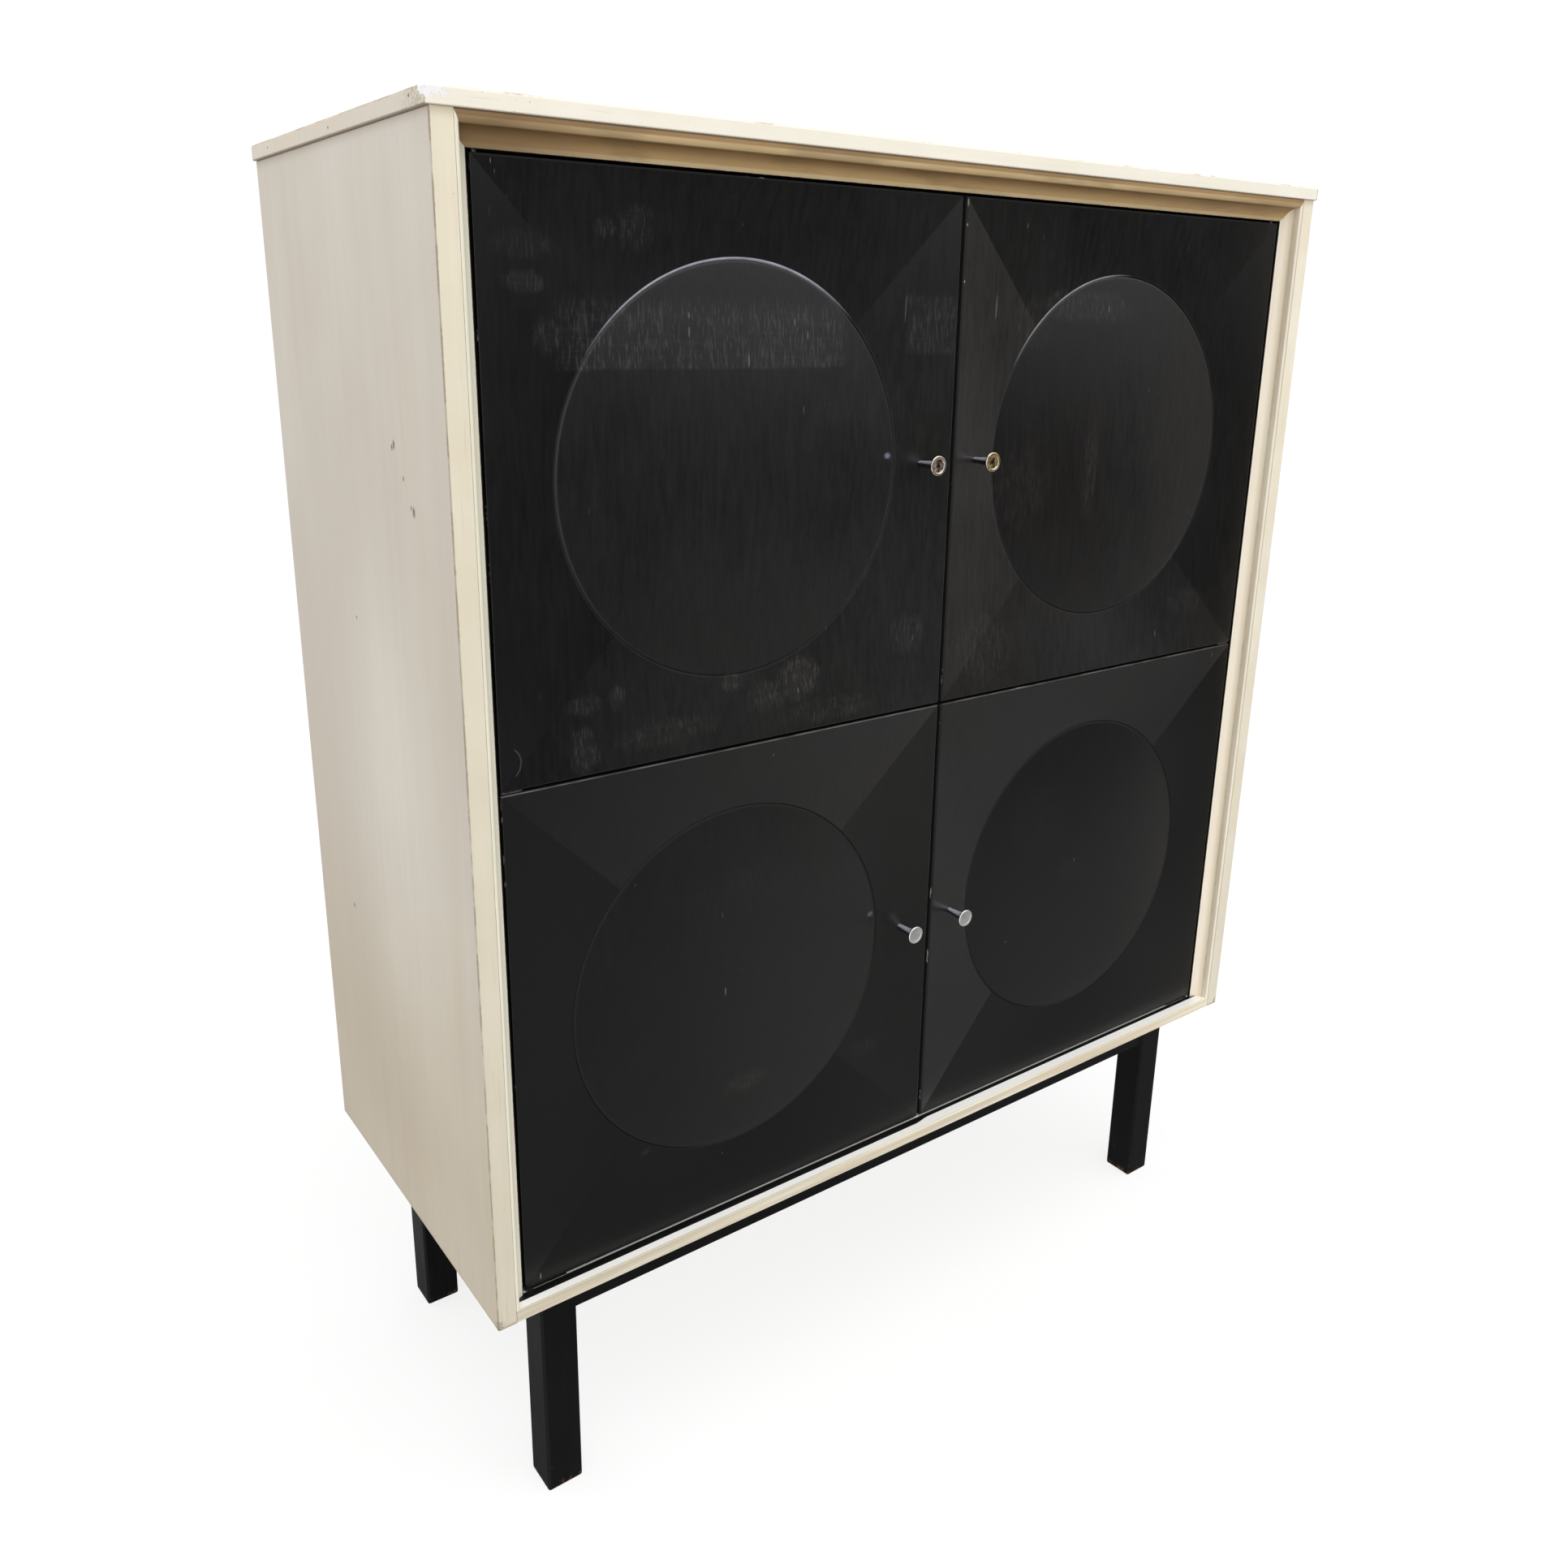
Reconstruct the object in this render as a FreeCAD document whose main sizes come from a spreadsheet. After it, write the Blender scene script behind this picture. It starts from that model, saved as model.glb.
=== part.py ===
import FreeCAD, Part
import math
import os
import Sketcher
from FreeCAD import Placement, Rotation, Vector

# Square cabinet with four doors, each door carved from its square edge down to a
# round rim and up again to a shallow dome.  +Z up, front faces -Y, origin at the
# bottom centre of the whole box.  Millimetres.

os.makedirs("parts", exist_ok=True)
doc = FreeCAD.newDocument("round_cabinet")

# ------------------------------------------------------------------ dimensions
sheet = doc.addObject("Spreadsheet::Sheet", "Dims")
ROWS = [
    ("cab_width", 1100, "outer width over the side panels"),
    ("cab_depth", 438, "depth of the side panels, front edge to back edge"),
    ("side_height", 1064, "height of the side panels"),
    ("panel_thick", 19, "side, bottom, middle and divider panels"),
    ("top_thick", 14, "top board"),
    ("top_over_side", 3.5, "top board overhang at each side"),
    ("top_over_front", 1.5, "top board overhang at the front"),
    ("leg_length", 270, "leg from floor to underside of the case"),
    ("leg_side", 40, "square leg section"),
    ("leg_inset_side", 63, "leg outer face in from the side panel's outer face"),
    ("leg_inset_front", 41, "front leg face behind the case front"),
    ("leg_inset_back", 24, "rear leg face in front of the case back"),
    ("leg_round", 3, "rounding of the leg's long edges and foot"),
    ("rail_height", 54, "base rail height"),
    ("rail_thick", 20, "base rail thickness"),
    ("rail_setback", 2, "rail face behind the leg face"),
    ("knob_proud", 2.0, "knob face in front of the case front"),
    ("door_recess", 19.6, "door front plane behind the case front"),
    ("door_thick", 25, "door thickness"),
    ("inner_front", 48, "front edges of shelves and dividers behind the case front"),
    ("frame_side", 16.5, "side moulding width"),
    ("frame_top", 24, "top moulding height"),
    ("frame_bottom", 11, "bottom strip height under the doors"),
    ("sill_rise", 2.2, "nose of the bottom strip above its flat part"),
    ("bead_side", 4.4, "bead width on the side mouldings"),
    ("bead_top", 9.4, "bead height on the top moulding"),
    ("bead_deep", 7.9, "depth of the crease behind the bead"),
    ("lip_side", 4.3, "flat lip beside the doors, width on the side mouldings"),
    ("lip_top", 3.2, "flat lip above the doors, height on the top moulding"),
    ("lip_fall", 2.0, "fall of the lip towards the doors"),
    ("gap_outer", 2.5, "door edge to side moulding"),
    ("gap_middle", 4.5, "between left and right doors"),
    ("gap_seam", 3.0, "between upper and lower doors"),
    ("gap_top", 2.25, "upper door to top moulding"),
    ("gap_bottom", 3.0, "lower door to the flat of the bottom strip"),
    ("relief_land", 1.5, "flat land round the door's carved front"),
    ("rim_radius", 187.9, "radius of the round rim"),
    ("rim_depth", 11.3, "rim depth behind the door's front plane"),
    ("rim_groove", 0.8, "half width of the flat ring at the rim"),
    ("dome_rise", 10.5, "dome apex above the rim"),
    ("axis_in", 6.0, "pivot axis in from the door's outer edge and front plane"),
    ("pin_radius", 2.5, "pivot pin radius"),
    ("pin_play", 0.05, "radial play of the pin in the door's plate"),
    ("plate_long", 45, "pivot plate length"),
    ("plate_wide", 13, "pivot plate width"),
    ("plate_thick", 2.0, "pivot plate thickness"),
    ("knob_in", 35.75, "knob axis in from the door's free edge"),
    ("knob_up", 0.5, "knob axis above the door's middle"),
    ("knob_head", 10.0, "knob head radius"),
    ("knob_reach", 21.6, "knob face in front of the door's front plane"),
    ("knob_bury", 9.0, "knob stem end behind the door's front plane"),
    ("back_thick", 6, "back panel thickness"),
    ("back_lap", 8.5, "back panel lap into the side panels"),
    ("shelf_thick", 16, "loose shelf thickness"),
    ("shelf_front", 70, "loose shelf front edge behind the case front"),
    ("shelf_low_z", 530, "underside of the lower loose shelves"),
    ("shelf_high_z", 1062, "underside of the upper loose shelves"),
    ("peg_radius", 2.5, "shelf pin radius"),
    ("peg_bury", 8.5, "shelf pin length in the panel"),
    ("peg_front", 110, "front shelf pins behind the case front"),
    ("peg_back", 390, "rear shelf pins behind the case front"),
    ("peg_pitch", 64, "spacing of the pin hole rows"),
]
for i, (alias, value, note) in enumerate(ROWS, start=1):
    sheet.set("A%d" % i, note)
    sheet.set("B%d" % i, str(value))
    sheet.setAlias("B%d" % i, alias)
doc.recompute()


class Size:
    """A length and the sheet expression that drives it."""

    def __init__(self, v, t):
        self.v, self.t = float(v), t

    def __add__(self, o):
        o = lift(o)
        return Size(self.v + o.v, "(%s + %s)" % (self.t, o.t))

    def __sub__(self, o):
        o = lift(o)
        return Size(self.v - o.v, "(%s - %s)" % (self.t, o.t))

    def __mul__(self, k):
        return Size(self.v * k, "(%s * %s)" % (self.t, float(k)))

    def __truediv__(self, k):
        return Size(self.v / k, "(%s / %s)" % (self.t, float(k)))

    def __neg__(self):
        return Size(-self.v, "(0 - %s)" % self.t)

    def __radd__(self, o):
        return lift(o) + self

    def __rsub__(self, o):
        return lift(o) - self


def lift(o):
    return o if isinstance(o, Size) else Size(o, "%.6f" % float(o))


class Dims:
    pass


P = Dims()
for alias, _v, _n in ROWS:
    setattr(P, alias, Size(float(sheet.get(alias)), "Dims.%s" % alias))

# ------------------------------------------------------------ derived positions
front = -(P.cab_depth - P.knob_proud) / 2          # case front edge, Y
half = P.cab_width / 2
inner = half - P.panel_thick                        # inner face of a side panel
case_z = P.leg_length                               # underside of the case
case_top = case_z + P.side_height                   # underside of the top board
open_x = inner - P.frame_side                       # inner face of a side moulding
open_lo = case_z + P.frame_bottom
open_hi = case_top - P.frame_top
door_w = open_x - P.gap_outer - P.gap_middle / 2
door_h = (open_hi - open_lo - P.gap_top - P.gap_bottom - P.gap_seam) / 2
low_z = open_lo + P.gap_bottom
high_z = low_z + door_h + P.gap_seam
seam_z = high_z - P.gap_seam / 2
door_y = front + P.door_recess
inside_y = front + P.inner_front
axis_x = open_x - P.gap_outer - P.axis_in           # pivot axis, +-X
axis_y = door_y + P.axis_in
back_y = front + P.cab_depth - P.back_thick         # front face of the back panel
mid_lo = seam_z - P.panel_thick / 2
mid_hi = seam_z + P.panel_thick / 2
floor_z = case_z + P.panel_thick                    # top of the bottom panel

NODES = []


# --------------------------------------------------------------------- helpers
def place(ob, x, y, z):
    for letter, s in (("x", x), ("y", y), ("z", z)):
        ob.setExpression("Placement.Base." + letter, lift(s).t)


def new_body(label, x, y, z):
    body = doc.addObject("PartDesign::Body", label)
    body.Label = label
    place(body, x, y, z)
    NODES.append(body)
    return body


def origin_plane(body, role):
    return [o for o in body.Origin.OriginFeatures if o.Role == role][0]


def pin_point(sk, geo, end, x, y):
    """Fix one point of the sketch by its distances from the sketch origin."""
    for kind, s, axis in (("DistanceX", x, -2), ("DistanceY", y, -1)):
        s = lift(s)
        if abs(s.v) < 1e-9:
            sk.addConstraint(Sketcher.Constraint("PointOnObject", geo, end, axis))
        else:
            if s.v > 0:
                n = sk.addConstraint(Sketcher.Constraint(kind, -1, 1, geo, end, s.v))
            else:
                s = -s
                n = sk.addConstraint(Sketcher.Constraint(kind, geo, end, -1, 1, s.v))
            sk.setExpression("Constraints[%d]" % n, s.t)


def new_sketch(body, role, name, ox=0, oy=0, oz=0):
    sk = body.newObject("Sketcher::SketchObject", name)
    sk.AttachmentSupport = [(origin_plane(body, role), "")]
    sk.MapMode = "FlatFace"
    for letter, s in (("x", ox), ("y", oy), ("z", oz)):
        s = lift(s)
        if abs(s.v) > 1e-9:
            sk.setExpression("AttachmentOffset.Base." + letter, s.t)
    return sk


def through(a, m, b):
    """Centre, radius and turning sense of the circle through three points."""
    ax, ay, mx, my, bx, by = a.x, a.y, m.x, m.y, b.x, b.y
    d = 2 * (ax * (my - by) + mx * (by - ay) + bx * (ay - my))
    a2, m2, b2 = ax * ax + ay * ay, mx * mx + my * my, bx * bx + by * by
    cx = (a2 * (my - by) + m2 * (by - ay) + b2 * (ay - my)) / d
    cy = (a2 * (bx - mx) + m2 * (ax - bx) + b2 * (mx - ax)) / d
    turn = (mx - ax) * (by - ay) - (my - ay) * (bx - ax)
    return Vector(cx, cy, 0), math.hypot(ax - cx, ay - cy), turn


def outline(sk, pts, arcs=None):
    """Closed outline through pts; arcs maps a side's number to its mid point."""
    arcs = arcs or {}
    n = len(pts)
    ends = []
    vec = [Vector(lift(a).v, lift(b).v, 0) for a, b in pts]
    for i in range(n):
        a, b = vec[i], vec[(i + 1) % n]
        if i in arcs:
            mid = Vector(arcs[i][0], arcs[i][1], 0)
            c, r, turn = through(a, mid, b)
            p0, p1 = (a, b) if turn > 0 else (b, a)
            t0 = math.atan2(p0.y - c.y, p0.x - c.x)
            t1 = math.atan2(p1.y - c.y, p1.x - c.x)
            if t1 < t0:
                t1 += 2 * math.pi
            g = sk.addGeometry(Part.ArcOfCircle(Part.Circle(c, Vector(0, 0, 1), r), t0, t1))
            ends.append((g, 1, 2) if turn > 0 else (g, 2, 1))
        else:
            g = sk.addGeometry(Part.LineSegment(a, b))
            ends.append((g, 1, 2))
    for i in range(n):
        g, s, e = ends[i]
        g2, s2, e2 = ends[(i + 1) % n]
        sk.addConstraint(Sketcher.Constraint("Coincident", g, e, g2, s2))
    for i in range(n):
        g, s, e = ends[i]
        pin_point(sk, g, s, pts[i][0], pts[i][1])
        if i in arcs:
            sk.addConstraint(Sketcher.Constraint("Radius", g, sk.Geometry[g].Radius))
    return sk


def rect(sk, x0, y0, x1, y1):
    return outline(sk, [(x0, y0), (x1, y0), (x1, y1), (x0, y1)])


def circle(sk, x, y, r):
    r = lift(r)
    g = sk.addGeometry(Part.Circle(Vector(lift(x).v, lift(y).v, 0), Vector(0, 0, 1), r.v))
    pin_point(sk, g, 3, x, y)
    n = sk.addConstraint(Sketcher.Constraint("Radius", g, r.v))
    sk.setExpression("Constraints[%d]" % n, r.t)
    return sk


def pad(body, sk, length, name, reverse=False):
    f = body.newObject("PartDesign::Pad", name)
    f.Profile = sk
    f.Length = lift(length).v
    f.setExpression("Length", lift(length).t)
    f.Reversed = reverse
    sk.Visibility = False
    body.Tip = f
    return f


def pocket(body, sk, length, name, reverse=False):
    f = body.newObject("PartDesign::Pocket", name)
    f.Profile = sk
    f.Length = lift(length).v
    f.setExpression("Length", lift(length).t)
    f.Reversed = reverse
    body.Tip = f
    return f


def sub_box(body, name, x, y, z, lx, ly, lz):
    f = body.newObject("PartDesign::SubtractiveBox", name)
    for prop, s in (("Length", lx), ("Width", ly), ("Height", lz)):
        f.setExpression(prop, lift(s).t)
    place(f, x, y, z)
    body.Tip = f
    return f


def sub_cyl(body, name, x, y, z, rot, r, h):
    f = body.newObject("PartDesign::SubtractiveCylinder", name)
    f.setExpression("Radius", lift(r).t)
    f.setExpression("Height", lift(h).t)
    f.Placement = Placement(Vector(0, 0, 0), rot)
    place(f, x, y, z)
    body.Tip = f
    return f


UP = Rotation()
TO_BACK = Rotation(Vector(1, 0, 0), -90)    # cylinder axis +Z turned to +Y
TO_RIGHT = Rotation(Vector(0, 1, 0), 90)    # cylinder axis +Z turned to +X


def edges_where(feature, test):
    doc.recompute()
    names = []
    for i, e in enumerate(feature.Shape.Edges, start=1):
        if test(e):
            names.append("Edge%d" % i)
    return names


def dress(body, kind, name, size, test):
    base = body.Tip
    names = edges_where(base, test)
    if not names:
        raise RuntimeError("no edges for %s of %s" % (name, body.Label))
    f = body.newObject("PartDesign::" + kind, name)
    f.Base = (base, names)
    if kind == "Fillet":
        f.Radius = size
    else:
        f.Size = size
    body.Tip = f
    return f


def on(e, **want):
    """True where every vertex of the edge sits at the wanted coordinate."""
    if len(e.Vertexes) < 2:
        return False
    for letter, value in want.items():
        for v in e.Vertexes:
            if abs(getattr(v.Point, letter) - value) > 1e-4:
                return False
    return True


def slab(label, x, y, z, lx, ly, lz):
    """A board: rectangle on the XY plane, padded upwards."""
    body = new_body(label, x, y, z)
    sk = new_sketch(body, "XY_Plane", label + "_outline")
    rect(sk, 0, 0, lx, ly)
    pad(body, sk, lz, label + "_board")
    return body


# ------------------------------------------------------------------- the case
top = slab("top_panel", -(half + P.top_over_side), front - P.top_over_front, case_top,
           (half + P.top_over_side) * 2, P.cab_depth + P.top_over_front, P.top_thick)
tw, td, tz = (half + P.top_over_side).v * 2, (P.cab_depth + P.top_over_front).v, P.top_thick.v
dress(top, "Fillet", "top_arris", 2.0,
      lambda e: on(e, z=tz) and (on(e, y=0) or on(e, x=0) or on(e, x=tw)))
dress(top, "Chamfer", "top_drip", 1.0,
      lambda e: on(e, z=0) and (on(e, y=0) or on(e, x=0) or on(e, x=tw)))


def peg_holes(body, name, plane_x, z_row, into_plus_x):
    """Three rows of two shelf pin holes in a face that stands at local x."""
    sk = new_sketch(body, "YZ_Plane", name + "_holes", oz=plane_x)
    for y in (P.peg_front, P.peg_back):
        circle(sk, y, z_row - P.peg_pitch, P.peg_radius)
    f = pocket(body, sk, P.peg_bury, name, reverse=into_plus_x)
    rows = body.newObject("PartDesign::LinearPattern", name + "_rows")
    rows.Originals = [f]
    rows.Direction = (sk, ["V_Axis"])
    rows.Length = P.peg_pitch.v * 2
    rows.setExpression("Length", (P.peg_pitch * 2).t)
    rows.Occurrences = 3
    body.Tip = rows
    return rows


def side_panel(label, x, left):
    body = slab(label, x, front, case_z, P.panel_thick, P.cab_depth, P.side_height)
    rx = P.panel_thick - P.back_lap if left else lift(0)
    sub_box(body, label + "_rebate", rx, P.cab_depth - P.back_thick, 0,
            P.back_lap, P.back_thick, P.side_height)
    face = P.panel_thick if left else lift(0)
    for tag, z in (("low", P.shelf_low_z), ("high", P.shelf_high_z)):
        peg_holes(body, "%s_%s" % (label, tag), face, z - P.peg_radius - case_z, not left)
    outer = 0.0 if left else P.panel_thick.v
    h = P.side_height.v
    dress(body, "Chamfer", label + "_arris", 0.8,
          lambda e: (on(e, x=outer, y=0) or on(e, x=outer, z=h) or on(e, x=outer, z=0)))
    return body


left_side = side_panel("left_side_panel", -half, True)
right_side = side_panel("right_side_panel", inner, False)

slab("bottom_panel", -inner, inside_y, case_z, inner * 2, back_y - inside_y, P.panel_thick)
mid = slab("middle_shelf", -inner, inside_y, mid_lo, inner * 2, back_y - inside_y, P.panel_thick)
slab("back_panel", -(inner + P.back_lap), back_y, case_z,
     (inner + P.back_lap) * 2, P.back_thick, P.side_height)
up_div = slab("upper_divider", -P.panel_thick / 2, inside_y, mid_hi,
              P.panel_thick, back_y - inside_y, case_top - mid_hi)
low_div = slab("lower_divider", -P.panel_thick / 2, inside_y, floor_z,
               P.panel_thick, back_y - inside_y, mid_lo - floor_z)


def divider_holes(body, z_row, z0):
    for tag, x, flip in (("left", lift(0), True), ("right", P.panel_thick, False)):
        sk = new_sketch(body, "YZ_Plane", "%s_%s_holes" % (body.Label, tag), oz=x)
        for y in (P.peg_front, P.peg_back):
            circle(sk, y - P.inner_front, z_row - z0 - P.peg_pitch, P.peg_radius)
        f = pocket(body, sk, P.peg_bury, "%s_%s" % (body.Label, tag), reverse=flip)
        rows = body.newObject("PartDesign::LinearPattern", "%s_%s_rows" % (body.Label, tag))
        rows.Originals = [f]
        rows.Direction = (sk, ["V_Axis"])
        rows.setExpression("Length", (P.peg_pitch * 2).t)
        rows.Occurrences = 3
        body.Tip = rows


divider_holes(up_div, P.shelf_high_z - P.peg_radius, mid_hi)
divider_holes(low_div, P.shelf_low_z - P.peg_radius, floor_z)

# --------------------------------------------------------- mouldings round the doors
# Cross-section: small bead flush with the case front, a crease behind it, then a
# hollow that falls back to the doors.  a runs in from the case, d runs back.
deep = P.inner_front
sill_end = P.door_recess - 1.0        # foot of the bottom strip's slope, behind the front


def cove_mid(a0, d0, a1, d1, hollow):
    ax, dx = (a0 + a1) / 2, (d0 + d1) / 2
    length = ((a1 - a0) ** 2 + (d1 - d0) ** 2) ** 0.5
    return ax - hollow * (d1 - d0) / length, dx + hollow * (a1 - a0) / length


def moulding_points(width, bead, lip):
    return [(lift(0), deep), (lift(0), lift(0.9)), (bead, lift(2.6)), (bead, P.bead_deep),
            (width - lip, P.door_recess - P.lip_fall), (width, P.door_recess), (width, deep)]


def side_moulding(label, left):
    body = new_body(label, -inner if left else inner, front, open_lo)
    pts = moulding_points(P.frame_side, P.bead_side, P.lip_side)
    lip_a, lip_d = (P.frame_side - P.lip_side).v, (P.door_recess - P.lip_fall).v
    cm = cove_mid(P.bead_side.v, P.bead_deep.v, lip_a, lip_d, 1.7)
    bm = (P.bead_side.v * 0.45, 0.15)
    sign = 1 if left else -1
    sk = new_sketch(body, "XY_Plane", label + "_section")
    outline(sk, [(a if left else -a, d) for a, d in pts],
            {1: (sign * bm[0], bm[1]), 3: (sign * cm[0], cm[1])})
    pad(body, sk, case_top - open_lo, label + "_length")
    h = case_top - open_lo
    mit = new_sketch(body, "XZ_Plane", label + "_mitre")
    f = P.frame_side + 4
    corner = [(lift(0), h), (P.bead_side, h - P.bead_top),
              (P.frame_side - P.lip_side, h - P.frame_top + P.lip_top),
              (P.frame_side, h - P.frame_top), (f, h - P.frame_top), (f, h + 2), (lift(0), h + 2)]
    outline(mit, [(x if left else -x, z) for x, z in corner])
    pocket(body, mit, deep + 2, label + "_mitre_cut")
    # the foot is cut to the slope of the bottom strip's nose
    foot = new_sketch(body, "YZ_Plane", label + "_foot", oz=lift(-1 if left else 1))
    outline(foot, [(lift(-1), lift(-1)), (sill_end, lift(-1)), (sill_end, lift(0)),
                   (lift(0), P.sill_rise), (lift(-1), P.sill_rise)])
    pocket(body, foot, P.frame_side + 2, label + "_foot_cut", reverse=left)
    return body


side_moulding("left_moulding", True)
side_moulding("right_moulding", False)

top_mould = new_body("top_moulding", -inner, front, open_hi)
sk = new_sketch(top_mould, "YZ_Plane", "top_moulding_section")
pts = moulding_points(P.frame_top, P.bead_top, P.lip_top)
cm = cove_mid(P.bead_top.v, P.bead_deep.v, (P.frame_top - P.lip_top).v,
              (P.door_recess - P.lip_fall).v, 1.9)
ft = P.frame_top.v
outline(sk, [(d, P.frame_top - b) for b, d in pts],
        {1: (0.15, ft - P.bead_top.v * 0.45), 3: (cm[1], ft - cm[0])})
pad(top_mould, sk, inner * 2, "top_moulding_length")
for tag, far in (("left", False), ("right", True)):
    mit = new_sketch(top_mould, "XZ_Plane", "top_moulding_%s_mitre" % tag)
    corner = [(lift(0), P.frame_top), (P.bead_side, P.frame_top - P.bead_top),
              (P.frame_side - P.lip_side, P.lip_top), (P.frame_side, lift(0)),
              (P.frame_side, lift(-2)), (lift(-2), lift(-2)), (lift(-2), P.frame_top)]
    outline(mit, [((inner * 2 - x) if far else x, z) for x, z in corner])
    pocket(top_mould, mit, deep + 2, "top_moulding_%s_cut" % tag)

# bottom strip: its nose stands up at the front and slopes down to a flat under the doors
strip = new_body("bottom_front_strip", -inner, front, case_z)
sk = new_sketch(strip, "YZ_Plane", "bottom_strip_section")
outline(sk, [(lift(0), lift(0)), (P.inner_front, lift(0)), (P.inner_front, P.frame_bottom),
             (sill_end, P.frame_bottom), (lift(0), P.frame_bottom + P.sill_rise)])
pad(strip, sk, inner * 2, "bottom_strip_length")
sh = (P.frame_bottom + P.sill_rise).v
dress(strip, "Fillet", "strip_nose", 1.0, lambda e: on(e, y=0, z=sh))
dress(strip, "Fillet", "strip_under", 1.0, lambda e: on(e, y=0, z=0))

# mortises for the fixed pivot plates, two in the top moulding and two in the strip
plate_x = P.axis_in - 1.0            # pin axis in from the plate's outer end
plate_y = 4.0                         # pin axis in from the plate's front edge


def cut_plate_seats(body, x_org, y_org, z_org, z_seat):
    for tag, s in (("left", -1), ("right", 1)):
        if s < 0:
            x = -axis_x - plate_x
        else:
            x = axis_x + plate_x - P.plate_long
        sub_box(body, "%s_seat_%s" % (body.Label, tag), x - x_org, axis_y - plate_y - y_org,
                z_seat - z_org, P.plate_long, P.plate_wide, P.plate_thick)


cut_plate_seats(top_mould, -inner, front, open_hi, open_hi)
cut_plate_seats(strip, -inner, front, case_z, open_lo - P.plate_thick)

# ----------------------------------------------------------------- loose shelves
for label, right, z in (("shelf_upper_left", False, P.shelf_high_z),
                        ("shelf_upper_right", True, P.shelf_high_z),
                        ("shelf_lower_left", False, P.shelf_low_z),
                        ("shelf_lower_right", True, P.shelf_low_z)):
    long = inner - P.panel_thick / 2 - 2
    x = P.panel_thick / 2 + 1 if right else -(P.panel_thick / 2 + 1 + long)
    shelf = slab(label, x, front + P.shelf_front, z, long,
                 P.cab_depth - P.back_thick - P.shelf_front - 2, P.shelf_thick)
    hz = P.shelf_thick.v
    dress(shelf, "Fillet", label + "_nose", 1.5,
          lambda e: on(e, y=0, z=0) or on(e, y=0, z=hz))

# -------------------------------------------------------------------- base frame
leg_x = half - P.leg_inset_side               # outer face of a leg
fy = front + P.leg_inset_front
ry = front + P.cab_depth - P.leg_inset_back - P.leg_side
for label, sx, y in (("front_left_leg", -1, fy), ("front_right_leg", 1, fy),
                     ("rear_left_leg", -1, ry), ("rear_right_leg", 1, ry)):
    x = -leg_x if sx < 0 else leg_x - P.leg_side
    leg = slab(label, x, y, 0, P.leg_side, P.leg_side, P.leg_length)
    q = P.leg_side.v
    dress(leg, "Fillet", label + "_edges", P.leg_round.v,
          lambda e: any(on(e, x=a, y=b) for a in (0, q) for b in (0, q)) or on(e, z=0))

rail_z = case_z - P.rail_height
rail_long = (leg_x - P.leg_side) * 2
slab("front_rail", -(leg_x - P.leg_side), fy + P.rail_setback, rail_z,
     rail_long, P.rail_thick, P.rail_height)
slab("rear_rail", -(leg_x - P.leg_side), ry + P.leg_side - P.rail_setback - P.rail_thick, rail_z,
     rail_long, P.rail_thick, P.rail_height)
slab("left_rail", -leg_x + P.rail_setback, fy + P.leg_side, rail_z,
     P.rail_thick, ry - fy - P.leg_side, P.rail_height)
slab("right_rail", leg_x - P.rail_setback - P.rail_thick, fy + P.leg_side, rail_z,
     P.rail_thick, ry - fy - P.leg_side, P.rail_height)
for body in NODES[-4:]:
    dress(body, "Chamfer", body.Label + "_arris", 1.0,
          lambda e: on(e, z=0) and max(e.BoundBox.XLength, e.BoundBox.YLength) > 100)

# ------------------------------------------------------------------------- doors
DOORS = [("upper_left", -1, high_z), ("upper_right", 1, high_z),
         ("lower_left", -1, low_z), ("lower_right", 1, low_z)]
CORNER = 0.5 ** 0.5

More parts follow.
